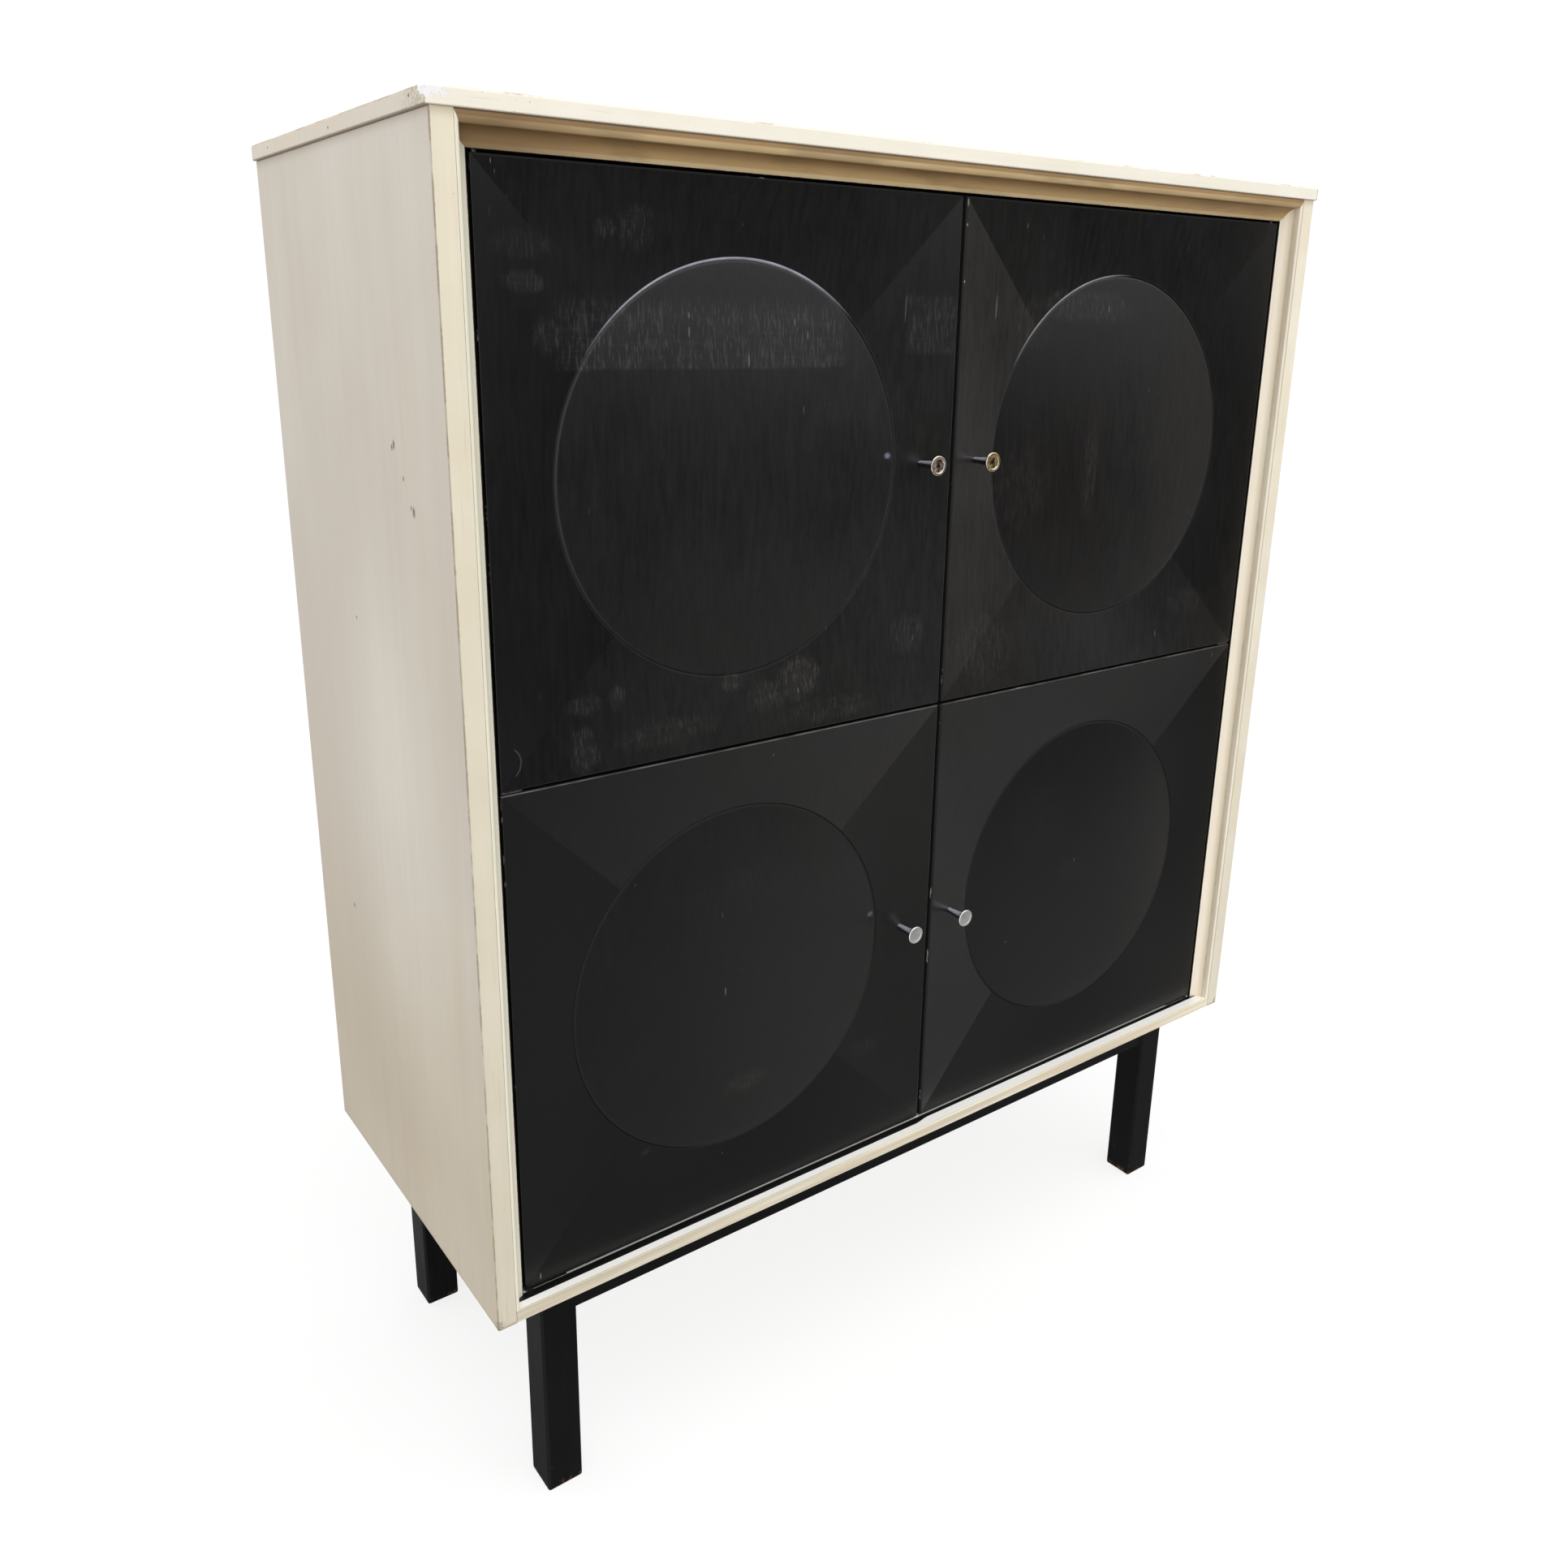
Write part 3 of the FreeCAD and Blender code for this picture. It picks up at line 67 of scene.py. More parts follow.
# ------------------------------------------------------------------ material helper
class Paint:
    """One node material. Every method adds nodes and returns an output socket."""

    def __init__(self, name):
        self.mat = bpy.data.materials.new(name)
        self.mat.use_nodes = True
        self.nt = self.mat.node_tree
        self.nt.nodes.clear()
        self.out = self.nt.nodes.new("ShaderNodeOutputMaterial")
        self.bsdf = self.nt.nodes.new("ShaderNodeBsdfPrincipled")
        self.nt.links.new(self.bsdf.outputs[0], self.out.inputs["Surface"])
        self.pos = self.nt.nodes.new("ShaderNodeTexCoord").outputs["Object"]
        sep = self.nt.nodes.new("ShaderNodeSeparateXYZ")
        self.nt.links.new(self.pos, sep.inputs[0])
        self.x, self.y, self.z = sep.outputs[0], sep.outputs[1], sep.outputs[2]

    def put(self, socket, value):
        if isinstance(value, bpy.types.NodeSocket):
            self.nt.links.new(value, socket)
        else:
            socket.default_value = value

    def math(self, op, a, b=0.0, c=0.0, clamp=False):
        n = self.nt.nodes.new("ShaderNodeMath")
        n.operation = op
        n.use_clamp = clamp
        for i, v in enumerate((a, b, c)):
            self.put(n.inputs[i], v)
        return n.outputs[0]

    def add(self, a, b):
        return self.math("ADD", a, b)

    def sub(self, a, b):
        return self.math("SUBTRACT", a, b)

    def mul(self, a, b):
        return self.math("MULTIPLY", a, b)

    def high(self, a, b):
        return self.math("MAXIMUM", a, b)

    def mad(self, a, k, c):
        return self.math("MULTIPLY_ADD", a, k, c)

    def scaled(self, stretch, offset=(0, 0, 0)):
        n = self.nt.nodes.new("ShaderNodeMapping")
        self.nt.links.new(self.pos, n.inputs["Vector"])
        n.inputs["Scale"].default_value = stretch
        n.inputs["Location"].default_value = offset
        return n.outputs[0]

    def noise(self, stretch, offset=(0, 0, 0), detail=3.0, rough=0.55, distort=0.0):
        n = self.nt.nodes.new("ShaderNodeTexNoise")
        n.inputs["Scale"].default_value = 1.0
        n.inputs["Detail"].default_value = detail
        n.inputs["Roughness"].default_value = rough
        n.inputs["Distortion"].default_value = distort
        self.put(n.inputs["Vector"], self.scaled(stretch, offset))
        return n.outputs["Fac"]

    def cells(self, stretch, offset=(0, 0, 0), feature="F1", random=1.0):
        n = self.nt.nodes.new("ShaderNodeTexVoronoi")
        n.feature = feature
        n.inputs["Scale"].default_value = 1.0
        n.inputs["Randomness"].default_value = random
        self.put(n.inputs["Vector"], self.scaled(stretch, offset))
        return n.outputs["Distance"]

    def step(self, v, lo, hi, a=0.0, b=1.0):
        """Smooth step from a at lo to b at hi."""
        n = self.nt.nodes.new("ShaderNodeMapRange")
        n.interpolation_type = "SMOOTHSTEP"
        self.put(n.inputs["Value"], v)
        n.inputs["From Min"].default_value = lo
        n.inputs["From Max"].default_value = hi
        n.inputs["To Min"].default_value = a
        n.inputs["To Max"].default_value = b
        return n.outputs["Result"]

    def lin(self, v, lo, hi, a=0.0, b=1.0):
        n = self.nt.nodes.new("ShaderNodeMapRange")
        n.interpolation_type = "LINEAR"
        n.clamp = True
        self.put(n.inputs["Value"], v)
        n.inputs["From Min"].default_value = lo
        n.inputs["From Max"].default_value = hi
        n.inputs["To Min"].default_value = a
        n.inputs["To Max"].default_value = b
        return n.outputs["Result"]

    def mix(self, fac, a, b, how="MIX"):
        n = self.nt.nodes.new("ShaderNodeMix")
        n.data_type = "RGBA"
        n.blend_type = how
        self.put(n.inputs[0], fac)
        self.put(n.inputs[6], a)
        self.put(n.inputs[7], b)
        return n.outputs[2]

    def tone(self, colour, factor):
        """The colour times a grey factor."""
        n = self.nt.nodes.new("ShaderNodeVectorMath")
        n.operation = "SCALE"
        self.put(n.inputs[0], colour if isinstance(colour, bpy.types.NodeSocket) else colour[:3])
        self.put(n.inputs["Scale"], factor)
        return n.outputs[0]

    def dist(self, point, squash=(1, 1, 1)):
        """Distance from a point of the object, with the axes scaled by squash."""
        n = self.nt.nodes.new("ShaderNodeVectorMath")
        n.operation = "LENGTH"
        off = tuple(-p * s for p, s in zip(point, squash))
        self.put(n.inputs[0], self.scaled(squash, off))
        return n.outputs["Value"]

    def near(self, point, r, soft, squash=(1, 1, 1)):
        return self.step(self.dist(point, squash), r + soft, r)

    def far2(self, a, b):
        """Length of the pair (a, b)."""
        return self.math("SQRT", self.add(self.mul(a, a), self.mul(b, b)))

    def bump(self, height, strength, distance, normal=None):
        n = self.nt.nodes.new("ShaderNodeBump")
        n.inputs["Strength"].default_value = strength
        n.inputs["Distance"].default_value = distance
        self.put(n.inputs["Height"], height)
        if normal is not None:
            self.put(n.inputs["Normal"], normal)
        return n.outputs[0]

    def finish(self, colour, rough, normal=None, metallic=0.0, specular=0.5, coat=0.0,
               coat_rough=0.1, ior=1.5):
        b = self.bsdf.inputs
        self.put(b["Base Color"], colour)
        self.put(b["Roughness"], rough)
        self.put(b["Metallic"], metallic)
        b["Specular IOR Level"].default_value = specular
        b["IOR"].default_value = ior
        b["Coat Weight"].default_value = coat
        b["Coat Roughness"].default_value = coat_rough
        if normal is not None:
            self.put(b["Normal"], normal)
        return self.mat


# ------------------------------------------------------------------- cream paint
CREAM = srgb(243, 233, 208)
CREAM_PALE = srgb(249, 242, 223)
CREAM_PINK = srgb(239, 223, 203)
# painted shade: the side panels' broad faces are painted in these greyer tones, darker than the cream front edges
SIDE_SHADE_GREY = srgb(197, 187, 172)
SIDE_SHADE_PALE = srgb(208, 200, 187)
SIDE_SHADE_WARM = srgb(195, 182, 160)
PATINA = srgb(150, 122, 84)
BARE = srgb(112, 80, 52)
FILLER = srgb(250, 250, 250)


def brushed(p, along, seed, amount=0.05):
    """Brush marks and cloudy unevenness of old paint along one axis."""
    k = {"x": (5, 260, 260), "y": (260, 5, 260), "z": (260, 260, 5)}[along]
    k2 = {"x": (2.2, 60, 60), "y": (60, 2.2, 60), "z": (60, 60, 2.2)}[along]
    fine = p.noise(k, (seed, 2 * seed, 0), detail=3)
    mid = p.noise(k2, (seed, 0, 3 * seed), detail=4)
    cloud = p.noise((7, 7, 7), (3 * seed, seed, 0), detail=5, rough=0.6)
    f = p.add(p.mul(p.sub(fine, 0.5), amount * 1.1), p.mul(p.sub(mid, 0.5), amount * 1.6))
    f = p.add(f, p.mul(p.sub(cloud, 0.5), amount * 1.4))
    return p.add(f, 1.0), fine, mid, cloud


def specks(p, seed, density=0.74, size=260):
    """Small dark flecks scattered over the paint."""
    n = p.noise((size, size, size), (seed, seed, seed), detail=2)
    patch = p.noise((14, 14, 14), (0, seed, 0), detail=2)
    return p.mul(p.step(n, density, density + 0.05), p.step(patch, 0.5, 0.68))


def arris(p, a, b, seed, wide=0.0017, broken=0.5):
    """Paint worn off along the edge where the two coordinate offsets a and b meet."""
    d = p.far2(a, b)
    n = p.noise((240, 240, 240), (seed, 0, seed), detail=4, rough=0.7)
    w = p.mad(n, wide * 2.2, -wide * 0.35)
    near = p.step(p.sub(d, w), 0.0004, -0.0003)
    gaps = p.noise((38, 38, 38), (0, seed, 0), detail=3)
    return p.mul(near, p.step(gaps, broken, broken + 0.1))


def side_paint(left):
    """Side panel: the broad face is painted greyer than the cream front edge, as painted shade."""
    p = Paint("cream_side_left" if left else "cream_side_right")
    seed = 3.1 if left else 8.7
    f, fine, mid, cloud = brushed(p, "z", seed, 0.055)
    ax = p.math("ABSOLUTE", p.x)
    broad = p.noise((3.2, 3.2, 1.6), (seed, 0, 0), detail=3)
    face = p.mix(p.step(broad, 0.35, 0.62), SIDE_SHADE_GREY, SIDE_SHADE_PALE)
    warm = p.noise((5, 9, 1.4), (0, seed, 2), detail=4)
    face = p.mix(p.step(warm, 0.52, 0.72, 0.0, 0.55), face, SIDE_SHADE_WARM)
    # painted sheen: a paler cloudy patch of light across the lower middle of the panel
    painted_sheen = p.near((HALF * (-1 if left else 1), -0.06, 0.72), 0.02, 0.20, (0.3, 1.0, 0.55))
    face = p.mix(p.mul(painted_sheen, 0.4), face, srgb(230, 225, 214))
    # painted shade: the broad face is painted darker and yellower low down, for the dim warm light from below
    face = p.mix(p.step(p.z, 0.80, 0.34, 0.0, 0.85), face, (0.93, 0.885, 0.795, 1), "MULTIPLY")
    edge = p.mix(p.step(cloud, 0.3, 0.75, 0, 0.6 if left else 0.95), CREAM, CREAM_PALE)
    edge = p.mix(p.step(p.noise((4, 4, 9), (seed, 1, 1)), 0.5, 0.75, 0, 0.5), edge, CREAM_PINK)
    # painted shade: the front edge is painted greyer low down, and darker on the left panel than on the right
    edge = p.tone(edge, p.lin(p.z, 0.35, 1.30, 0.76 if left else 0.86, 0.97 if left else 1.04))
    broad_face = p.step(ax, HALF - 0.0012, HALF - 0.0004)
    col = p.mix(broad_face, edge, face)
    # inside face: plain, a little darker
    inside = p.step(ax, INNER + 0.0008, INNER + 0.0001)
    behind = p.step(p.y, FRONT + 0.002, FRONT + 0.004)
    col = p.mix(p.mul(inside, behind), col, srgb(216, 204, 178))
    col = p.tone(col, f)
    # fine vertical hairlines and handling marks
    hair = p.noise((420, 420, 9), (seed, seed, 0), detail=2)
    hairs = p.mul(p.step(hair, 0.66, 0.74), p.step(broad, 0.4, 0.6))
    col = p.mix(p.mul(hairs, 0.22), col, PATINA)
    col = p.mix(p.mul(specks(p, seed), 0.55), col, srgb(120, 108, 92))
    dark = 0.0
    if left:
        for back, z, r in ((0.1155, 1.0865, 0.0022), (0.1203, 1.0840, 0.0016), (0.0794, 1.0339, 0.0026),
                           (0.0848, 1.0370, 0.0013), (0.0983, 1.0599, 0.0014), (0.3293, 0.5837, 0.0018),
                           (0.2458, 0.915, 0.0012)):
            dark = p.high(dark, p.near((-HALF, FRONT + back, z), r * 0.5, r, (1, 1, 0.6)))
    wobble = p.noise((900, 900, 900), (seed, 0, 0), detail=1)
    if left:
        col = p.mix(p.mul(dark, p.step(wobble, 0.25, 0.6, 0.45, 1.0)), col, srgb(86, 72, 58))
    # edges
    dx = p.sub(ax, HALF)
    dy = p.sub(p.y, FRONT)
    dz = p.sub(p.z, BOTTOM)
    worn = arris(p, dx, dy, seed, 0.0014, 0.42)
    worn = p.high(worn, arris(p, dx, dz, seed + 2, 0.0016, 0.42))
    worn = p.high(worn, arris(p, dy, dz, seed + 4, 0.0022, 0.30))
    # a thin dirty line all along the front arris, broken here and there
    line = p.mul(p.step(p.far2(dx, dy), 0.0013, 0.0007), p.step(p.noise((30, 30, 16), (5, 5, seed)), 0.36, 0.5))
    col = p.mix(p.mul(line, 0.36), col, srgb(133, 116, 92))
    corner = p.near((HALF * (-1 if left else 1), FRONT, BOTTOM + 0.004), 0.003, 0.006)
    col = p.mix(p.mul(worn, 0.34), col, BARE)
    col = p.mix(p.mul(p.mul(corner, p.step(wobble, 0.45, 0.58)), 0.75), col, srgb(78, 58, 42))
    # grime and painted shade: a browner band under the top board's overhang and along the foot
    grime_and_shade = p.high(p.step(p.z, TOP_UNDER - 0.010, TOP_UNDER, 0, 0.35), p.step(p.z, BOTTOM + 0.006, BOTTOM, 0, 0.2))
    col = p.mix(grime_and_shade, col, PATINA)
    height = p.add(p.mul(fine, 0.5), p.add(p.mul(mid, 0.6), p.mul(worn, -1.4)))
    rough = p.add(p.lin(cloud, 0.3, 0.7, 0.34, 0.5), p.mul(worn, 0.25))
    return p.finish(col, rough, p.bump(height, 0.35, 0.0006), specular=0.42)


def top_paint():
    p = Paint("cream_top_board")
    f, fine, mid, cloud = brushed(p, "x", 5.3, 0.05)
    ax = p.math("ABSOLUTE", p.x)
    # painted light: the board is painted paler than the other cream parts, for the light on its front
    col = p.mix(p.step(cloud, 0.3, 0.75), srgb(250, 243, 225), srgb(253, 248, 234))
    col = p.mix(p.step(p.noise((3, 9, 9), (2, 1, 4)), 0.5, 0.72, 0, 0.35), col, srgb(247, 236, 220))
    # painted shade: the board's ends are painted greyer, as the side panels' broad faces are
    ends = p.step(ax, HALF + 0.0022, HALF + 0.0030)
    side = p.mix(p.step(cloud, 0.35, 0.7), srgb(210, 200, 184), srgb(212, 199, 178))
    col = p.mix(ends, col, side)
    upper = p.step(p.z, TOP_Z - 0.0008, TOP_Z - 0.0002)
    rings = p.noise((2.4, 3.0, 1), (7, 3, 0), detail=5)
    top = p.mix(p.step(rings, 0.42, 0.66), srgb(226, 215, 192), srgb(214, 200, 172))
    col = p.mix(upper, col, top)
    col = p.tone(col, f)
    hair = p.noise((9, 420, 420), (1, 4, 2), detail=2)
    col = p.mix(p.mul(p.step(hair, 0.66, 0.75), 0.25), col, PATINA)
    col = p.mix(p.mul(specks(p, 4.4, 0.70, 300), 0.6), col, srgb(126, 104, 74))
    # dirty, speckled paint on the left end near the front corner
    darkening = p.mul(p.near((-HALF, FRONT + 0.004, 1.341), 0.006, 0.045, (1, 1, 1)), ends)
    grit = p.noise((420, 420, 420), (9, 9, 9), detail=3, rough=0.8)
    col = p.mix(p.mul(darkening, p.step(grit, 0.44, 0.6, 0, 0.8)), col, srgb(150, 140, 100))
    worn = arris(p, p.sub(p.y, FRONT - 0.0015), p.sub(p.z, TOP_Z - 0.0004), 1.7, 0.0013, 0.55)
    worn = p.high(worn, arris(p, p.sub(ax, HALF + 0.0035), p.sub(p.z, TOP_Z - 0.0004), 6.1, 0.0018, 0.45))
    worn = p.high(worn, arris(p, p.sub(ax, HALF + 0.0035), p.sub(p.y, FRONT - 0.0015), 2.1, 0.0016, 0.5))
    col = p.mix(p.mul(worn, 0.6), col, srgb(176, 152, 116))
    nails = p.high(p.near((-0.5535, FRONT + 0.0265, 1.3425), 0.0009, 0.0007), p.near((-0.5535, FRONT + 0.2086, 1.3400), 0.0009, 0.0007))
    nails = p.high(nails, p.near((-0.5535, FRONT + 0.3848, 1.3410), 0.0008, 0.0006))
    col = p.mix(p.mul(nails, 0.85), col, srgb(70, 54, 38))
    # white filler showing at the front left corner
    chip = p.noise((120, 120, 120), (4, 0, 1), detail=5, rough=0.75)
    reach = p.add(p.dist((-0.5520, FRONT - 0.0010, TOP_Z + 0.001), (0.62, 0.85, 1.25)), p.mul(p.sub(chip, 0.5), 0.026))
    fill = p.step(reach, 0.0125, 0.0100)
    col = p.mix(fill, col, FILLER)
    pits = p.mul(fill, p.step(p.noise((500, 500, 500), (3, 3, 3), detail=2), 0.60, 0.68))
    col = p.mix(p.mul(pits, 0.5), col, srgb(150, 150, 150))
    # painted shade: the board's underside is painted dark brown, a shadow line under its overhang
    under = p.step(p.z, TOP_UNDER + 0.0006, TOP_UNDER + 0.0002)
    col = p.mix(p.mul(under, 0.6), col, srgb(96, 70, 44))
    height = p.add(p.add(p.mul(fine, 0.45), p.mul(mid, 0.5)), p.add(p.mul(worn, -1.0), p.mul(fill, -1.6)))
    height = p.add(height, p.mul(nails, -2.5))
    rough = p.add(p.lin(cloud, 0.3, 0.7, 0.36, 0.5), p.mul(fill, 0.3))
    return p.finish(col, rough, p.bump(height, 0.35, 0.0006), specular=0.42)


def moulding_paint(which):
    """Cream paint of the mouldings: light and shade painted across their profiles, painted shade in the crease and a
    dark line in the groove at the panel.
    """
    p = Paint("cream_moulding_" + which)
    along = "x" if which in ("top", "bottom") else "z"
    seed = {"left": 1.3, "right": 4.9, "top": 7.7, "bottom": 2.6}[which]
    f, fine, mid, cloud = brushed(p, along, seed, 0.05)
    d = p.sub(p.y, FRONT)
    if which in ("left", "right"):
        a = p.sub(INNER, p.math("ABSOLUTE", p.x))
        crease_a, lip_a, end_a = 0.0044, 0.0122, 0.0165
    elif which == "top":
        a = p.sub(TOP_UNDER, p.z)
        crease_a, lip_a, end_a = 0.0094, 0.0208, 0.024
    else:
        a = p.sub(p.z, BOTTOM)
        crease_a, lip_a, end_a = 0.0132, 0.0132, 0.0132
    base = p.mix(p.step(cloud, 0.3, 0.75, 0, 0.7), CREAM, CREAM_PALE)
    base = p.mix(p.step(p.noise((6, 6, 6), (seed, 2, 2)), 0.5, 0.75, 0, 0.6), base, CREAM_PINK)
    if which == "top":
        # painted shade: the down-facing top moulding is painted tan and brown, its hollow darkest at the top and the
        # top of its bead darker as the top board's shadow; the streak on the bead is a painted highlight and the lip is
        # painted lighter
        bead = srgb(208, 178, 126)
        cove = p.mix(p.step(a, crease_a, lip_a - 0.002), srgb(146, 112, 70), srgb(198, 164, 112))
        lip = srgb(218, 194, 152)
        col = p.mix(p.step(a, crease_a - 0.0006, crease_a + 0.0006), bead, cove)
        col = p.mix(p.step(a, 0.0052, 0.0036, 0, 0.75), col, srgb(138, 104, 66))
        bead_highlight = p.mul(p.step(a, 0.0042, 0.0054), p.step(a, 0.0090, 0.0080))
        col = p.mix(p.mul(bead_highlight, 0.32), col, srgb(226, 206, 172))
        col = p.mix(p.step(a, lip_a - 0.0012, lip_a + 0.0002), col, lip)
        blotch = p.noise((9, 40, 40), (seed, 0, 0), detail=4)
        col = p.mix(p.step(blotch, 0.45, 0.7, 0, 0.4), col, srgb(178, 144, 98))
        col = p.mix(p.mul(p.step(blotch, 0.52, 0.36, 0, 0.35), 1.0), col, srgb(120, 98, 66))
        # painted shade, darker into the left corner; the far right end of the hollow is painted warmer
        col = p.mix(p.step(p.x, -0.34, -0.50, 0, 0.6), col, srgb(122, 92, 60))
        col = p.mix(p.step(p.x, 0.15, 0.50, 0, 0.25), col, srgb(190, 150, 100))
    elif which == "bottom":
        # painted light: the strip's top face is painted near white against the beige front
        top = p.step(p.sub(p.mad(d, 0.1183, -0.0132), p.mul(a, -1.0)), -0.0010, -0.0004)
        # the painted white stops short of the nose, where the front's colour runs on
        top = p.mul(top, p.step(p.add(d, p.mul(p.sub(mid, 0.5), 0.0010)), 0.0014, 0.0021))
        face = p.mix(p.step(p.noise((3, 40, 90), (seed, 3, 1), detail=3), 0.4, 0.62, 0, 0.8), base, srgb(222, 206, 178))
        face = p.mix(p.step(p.noise((4, 60, 200), (2, seed, 1), detail=3), 0.5, 0.66, 0, 0.6), face, srgb(214, 206, 184))
        face = p.tone(face, p.lin(p.x, -0.5, 0.5, 0.83, 1.0))
        col = p.mix(top, face, srgb(255, 254, 250))
        # painted shadow: a black band over the back of the strip's top below the doors, standing in for the doors'
        # shadow and lower edge, wider below the left door
        reach = p.step(p.x, -0.012, 0.012, 0.0112, 0.0150)
        back = p.step(p.sub(p.add(d, p.mul(p.sub(mid, 0.5), 0.0008)), reach), -0.0003, 0.0003)
        back = p.mul(back, p.step(d, 0.0218, 0.0208))
        col = p.mix(back, col, srgb(12, 11, 11))
        line = p.step(a, 0.0016, 0.0006)
        col = p.mix(p.mul(line, 0.45), col, srgb(250, 246, 236))
        worn = arris(p, p.sub(a, 0.0006), p.sub(d, 0.0004), seed, 0.0010, 0.5)
        col = p.mix(p.mul(worn, 0.45), col, srgb(188, 158, 120))
        joint = p.step(p.sub(INNER, p.math("ABSOLUTE", p.x)), 0.0009, 0.0003)
        col = p.mix(p.mul(joint, 0.8), col, srgb(120, 92, 62))
    else:
        green, pink = srgb(235, 233, 214), srgb(229, 215, 192)
        mott = p.noise((30, 30, 7), (seed, 3, 0), detail=4)
        col = p.mix(p.step(mott, 0.35, 0.6, 0.25, 0.85), base, green if which == "left" else pink)
        cove = p.mul(p.step(a, crease_a, crease_a + 0.0012), p.step(a, lip_a + 0.0012, lip_a - 0.001))
        shade = p.step(a, lip_a, crease_a, 0.15, 0.7)
        if which == "left":
            # painted shade: the hollow is painted greyer-green, darker toward the crease
            col = p.mix(p.mul(cove, shade), col, srgb(196, 190, 164))
            col = p.mix(p.step(a, lip_a, lip_a + 0.001, 0, 0.7), col, srgb(238, 229, 209))
        else:
            # painted light: the hollow is painted pale, yellower beside the bead, and the bead and the lip are painted
            # as bright lines
            yellow = p.mul(cove, p.step(a, crease_a + 0.0040, crease_a + 0.0008))
            col = p.mix(p.mul(cove, 0.8), col, srgb(250, 239, 219))
            col = p.mix(p.mul(yellow, 0.35), col, srgb(224, 206, 166))
            bead = p.mul(p.step(a, crease_a - 0.0022, crease_a - 0.0014), p.step(a, crease_a - 0.0002, crease_a - 0.0010))
            col = p.mix(p.mul(bead, 0.6), col, srgb(253, 249, 240))
            col = p.mix(p.step(a, lip_a, lip_a + 0.001, 0, 0.7), col, srgb(250, 243, 228))
    col = p.tone(col, f)
    if which != "bottom":
        # painted shade: darker along the crease between bead and hollow
        crease = p.far2(p.sub(a, crease_a + 0.0002), p.sub(d, 0.0079))
        n = p.noise((70, 70, 70), (seed, seed, 1), detail=3)
        if which == "right":
            darkening = p.mul(p.step(crease, 0.0022, 0.0006), p.lin(n, 0.3, 0.7, 0.15, 0.45))
            col = p.mix(darkening, col, srgb(172, 154, 116))
        else:
            darkening = p.mul(p.step(crease, 0.0026, 0.0006), p.lin(n, 0.3, 0.7, 0.35, 0.8))
            col = p.mix(darkening, col, srgb(108, 86, 52))
        groove = p.mul(p.step(a, 0.0009, 0.0003), p.lin(n, 0.3, 0.6, 0.5, 0.85))
        if which != "top":
            col = p.mix(groove, col, srgb(128, 112, 82))
        # painted shade: the last of the lip and its return beside the doors are painted black, the shade of the gap
        # round the doors
        chip = p.noise((130, 130, 130), (seed, 1, seed), detail=4, rough=0.7)
        reach = 0.0010 if which != "top" else 0.0003
        gap_shade = p.step(p.add(a, p.mul(p.sub(chip, 0.5), 0.0008)), end_a - reach - 0.0002, end_a - reach + 0.0002)
        col = p.mix(gap_shade, col, srgb(16, 14, 12))
    height = p.add(p.mul(fine, 0.5), p.mul(mid, 0.5))
    return p.finish(col, p.lin(cloud, 0.3, 0.7, 0.34, 0.48), p.bump(height, 0.3, 0.0005), specular=0.42)


def inside_paint(name, along):
    """Matt cream paint of the boards inside."""
    p = Paint(name)
    f, fine, mid, cloud = brushed(p, along, 2.2 + len(name), 0.05)
    col = p.mix(p.step(cloud, 0.3, 0.7), srgb(222, 210, 184), srgb(212, 199, 170))
    col = p.tone(col, f)
    ring = p.mul(specks(p, 1.0 + len(name), 0.72), 0.5)
    col = p.mix(ring, col, srgb(150, 130, 100))
    height = p.add(p.mul(fine, 0.5), p.mul(mid, 0.5))
    return p.finish(col, p.lin(cloud, 0.3, 0.7, 0.48, 0.62), p.bump(height, 0.3, 0.0005), specular=0.35)


def board_back():
    """Back board: cream inside, bare pressed board behind."""
    p = Paint("back_board")
    f, fine, mid, cloud = brushed(p, "z", 9.1, 0.05)
    fibre = p.noise((340, 340, 260), (1, 2, 3), detail=5, rough=0.75)
    stain = p.noise((3, 3, 4), (4, 0, 2), detail=4)
    bare = p.mix(p.lin(fibre, 0.3, 0.7), srgb(118, 84, 54), srgb(158, 118, 80))
    bare = p.mix(p.step(stain, 0.5, 0.75, 0, 0.5), bare, srgb(98, 70, 46))
    inside = p.mix(p.step(cloud, 0.3, 0.7), srgb(218, 206, 180), srgb(208, 194, 166))
    rear = p.step(p.y, 0.2146, 0.2152)
    col = p.mix(rear, p.tone(inside, f), bare)
    height = p.add(p.mul(fibre, 0.8), p.mul(fine, 0.2))
    return p.finish(col, p.lin(fibre, 0.3, 0.7, 0.55, 0.75), p.bump(height, 0.3, 0.0004), specular=0.3)


# ------------------------------------------------------------------- black paint
# Painted light and shade: how pale each part of a door's front is painted, top, right, bottom, left, dome, standing in
# for its reflections and shade.
# Each has two values: at the left and the right end, or at the low and the high end.
FACET_LIGHT = {"upper_left": ((0.0045, 0.0050), (0.0108, 0.0078), (0.0028, 0.0112), (0.0018, 0.0010), (0.0062, 0.0110)),
         "upper_right": ((0.0045, 0.0008), (0.0018, 0.0008), (0.0105, 0.0040), (0.0135, 0.0155), (0.0045, 0.0062)),
         "lower_left": ((0.0055, 0.0200), (0.0040, 0.0110), (0.0010, 0.0026), (0.0006, 0.0034), (0.0050, 0.0125)),
         "lower_right": ((0.0165, 0.0055), (0.0006, 0.0006), (0.0006, 0.0006), (0.0118, 0.0145), (0.0050, 0.0008))}


def smudges(p, spots, seed):
    """Soft patches on a door's front: (x, z, half width, half height, strength)."""
    ragged = p.noise((55, 55, 55), (seed, 2, seed), detail=3, rough=0.65)
    total = 0.0
    for x, z, rx, rz, k in spots:
        d = p.dist((x, DOOR_Y, z), (1 / rx, 0.0, 1 / rz))
        d = p.add(d, p.mul(p.sub(ragged, 0.5), 0.9))
        total = p.high(total, p.step(d, 1.15, 0.55, 0.0, k))
    return total


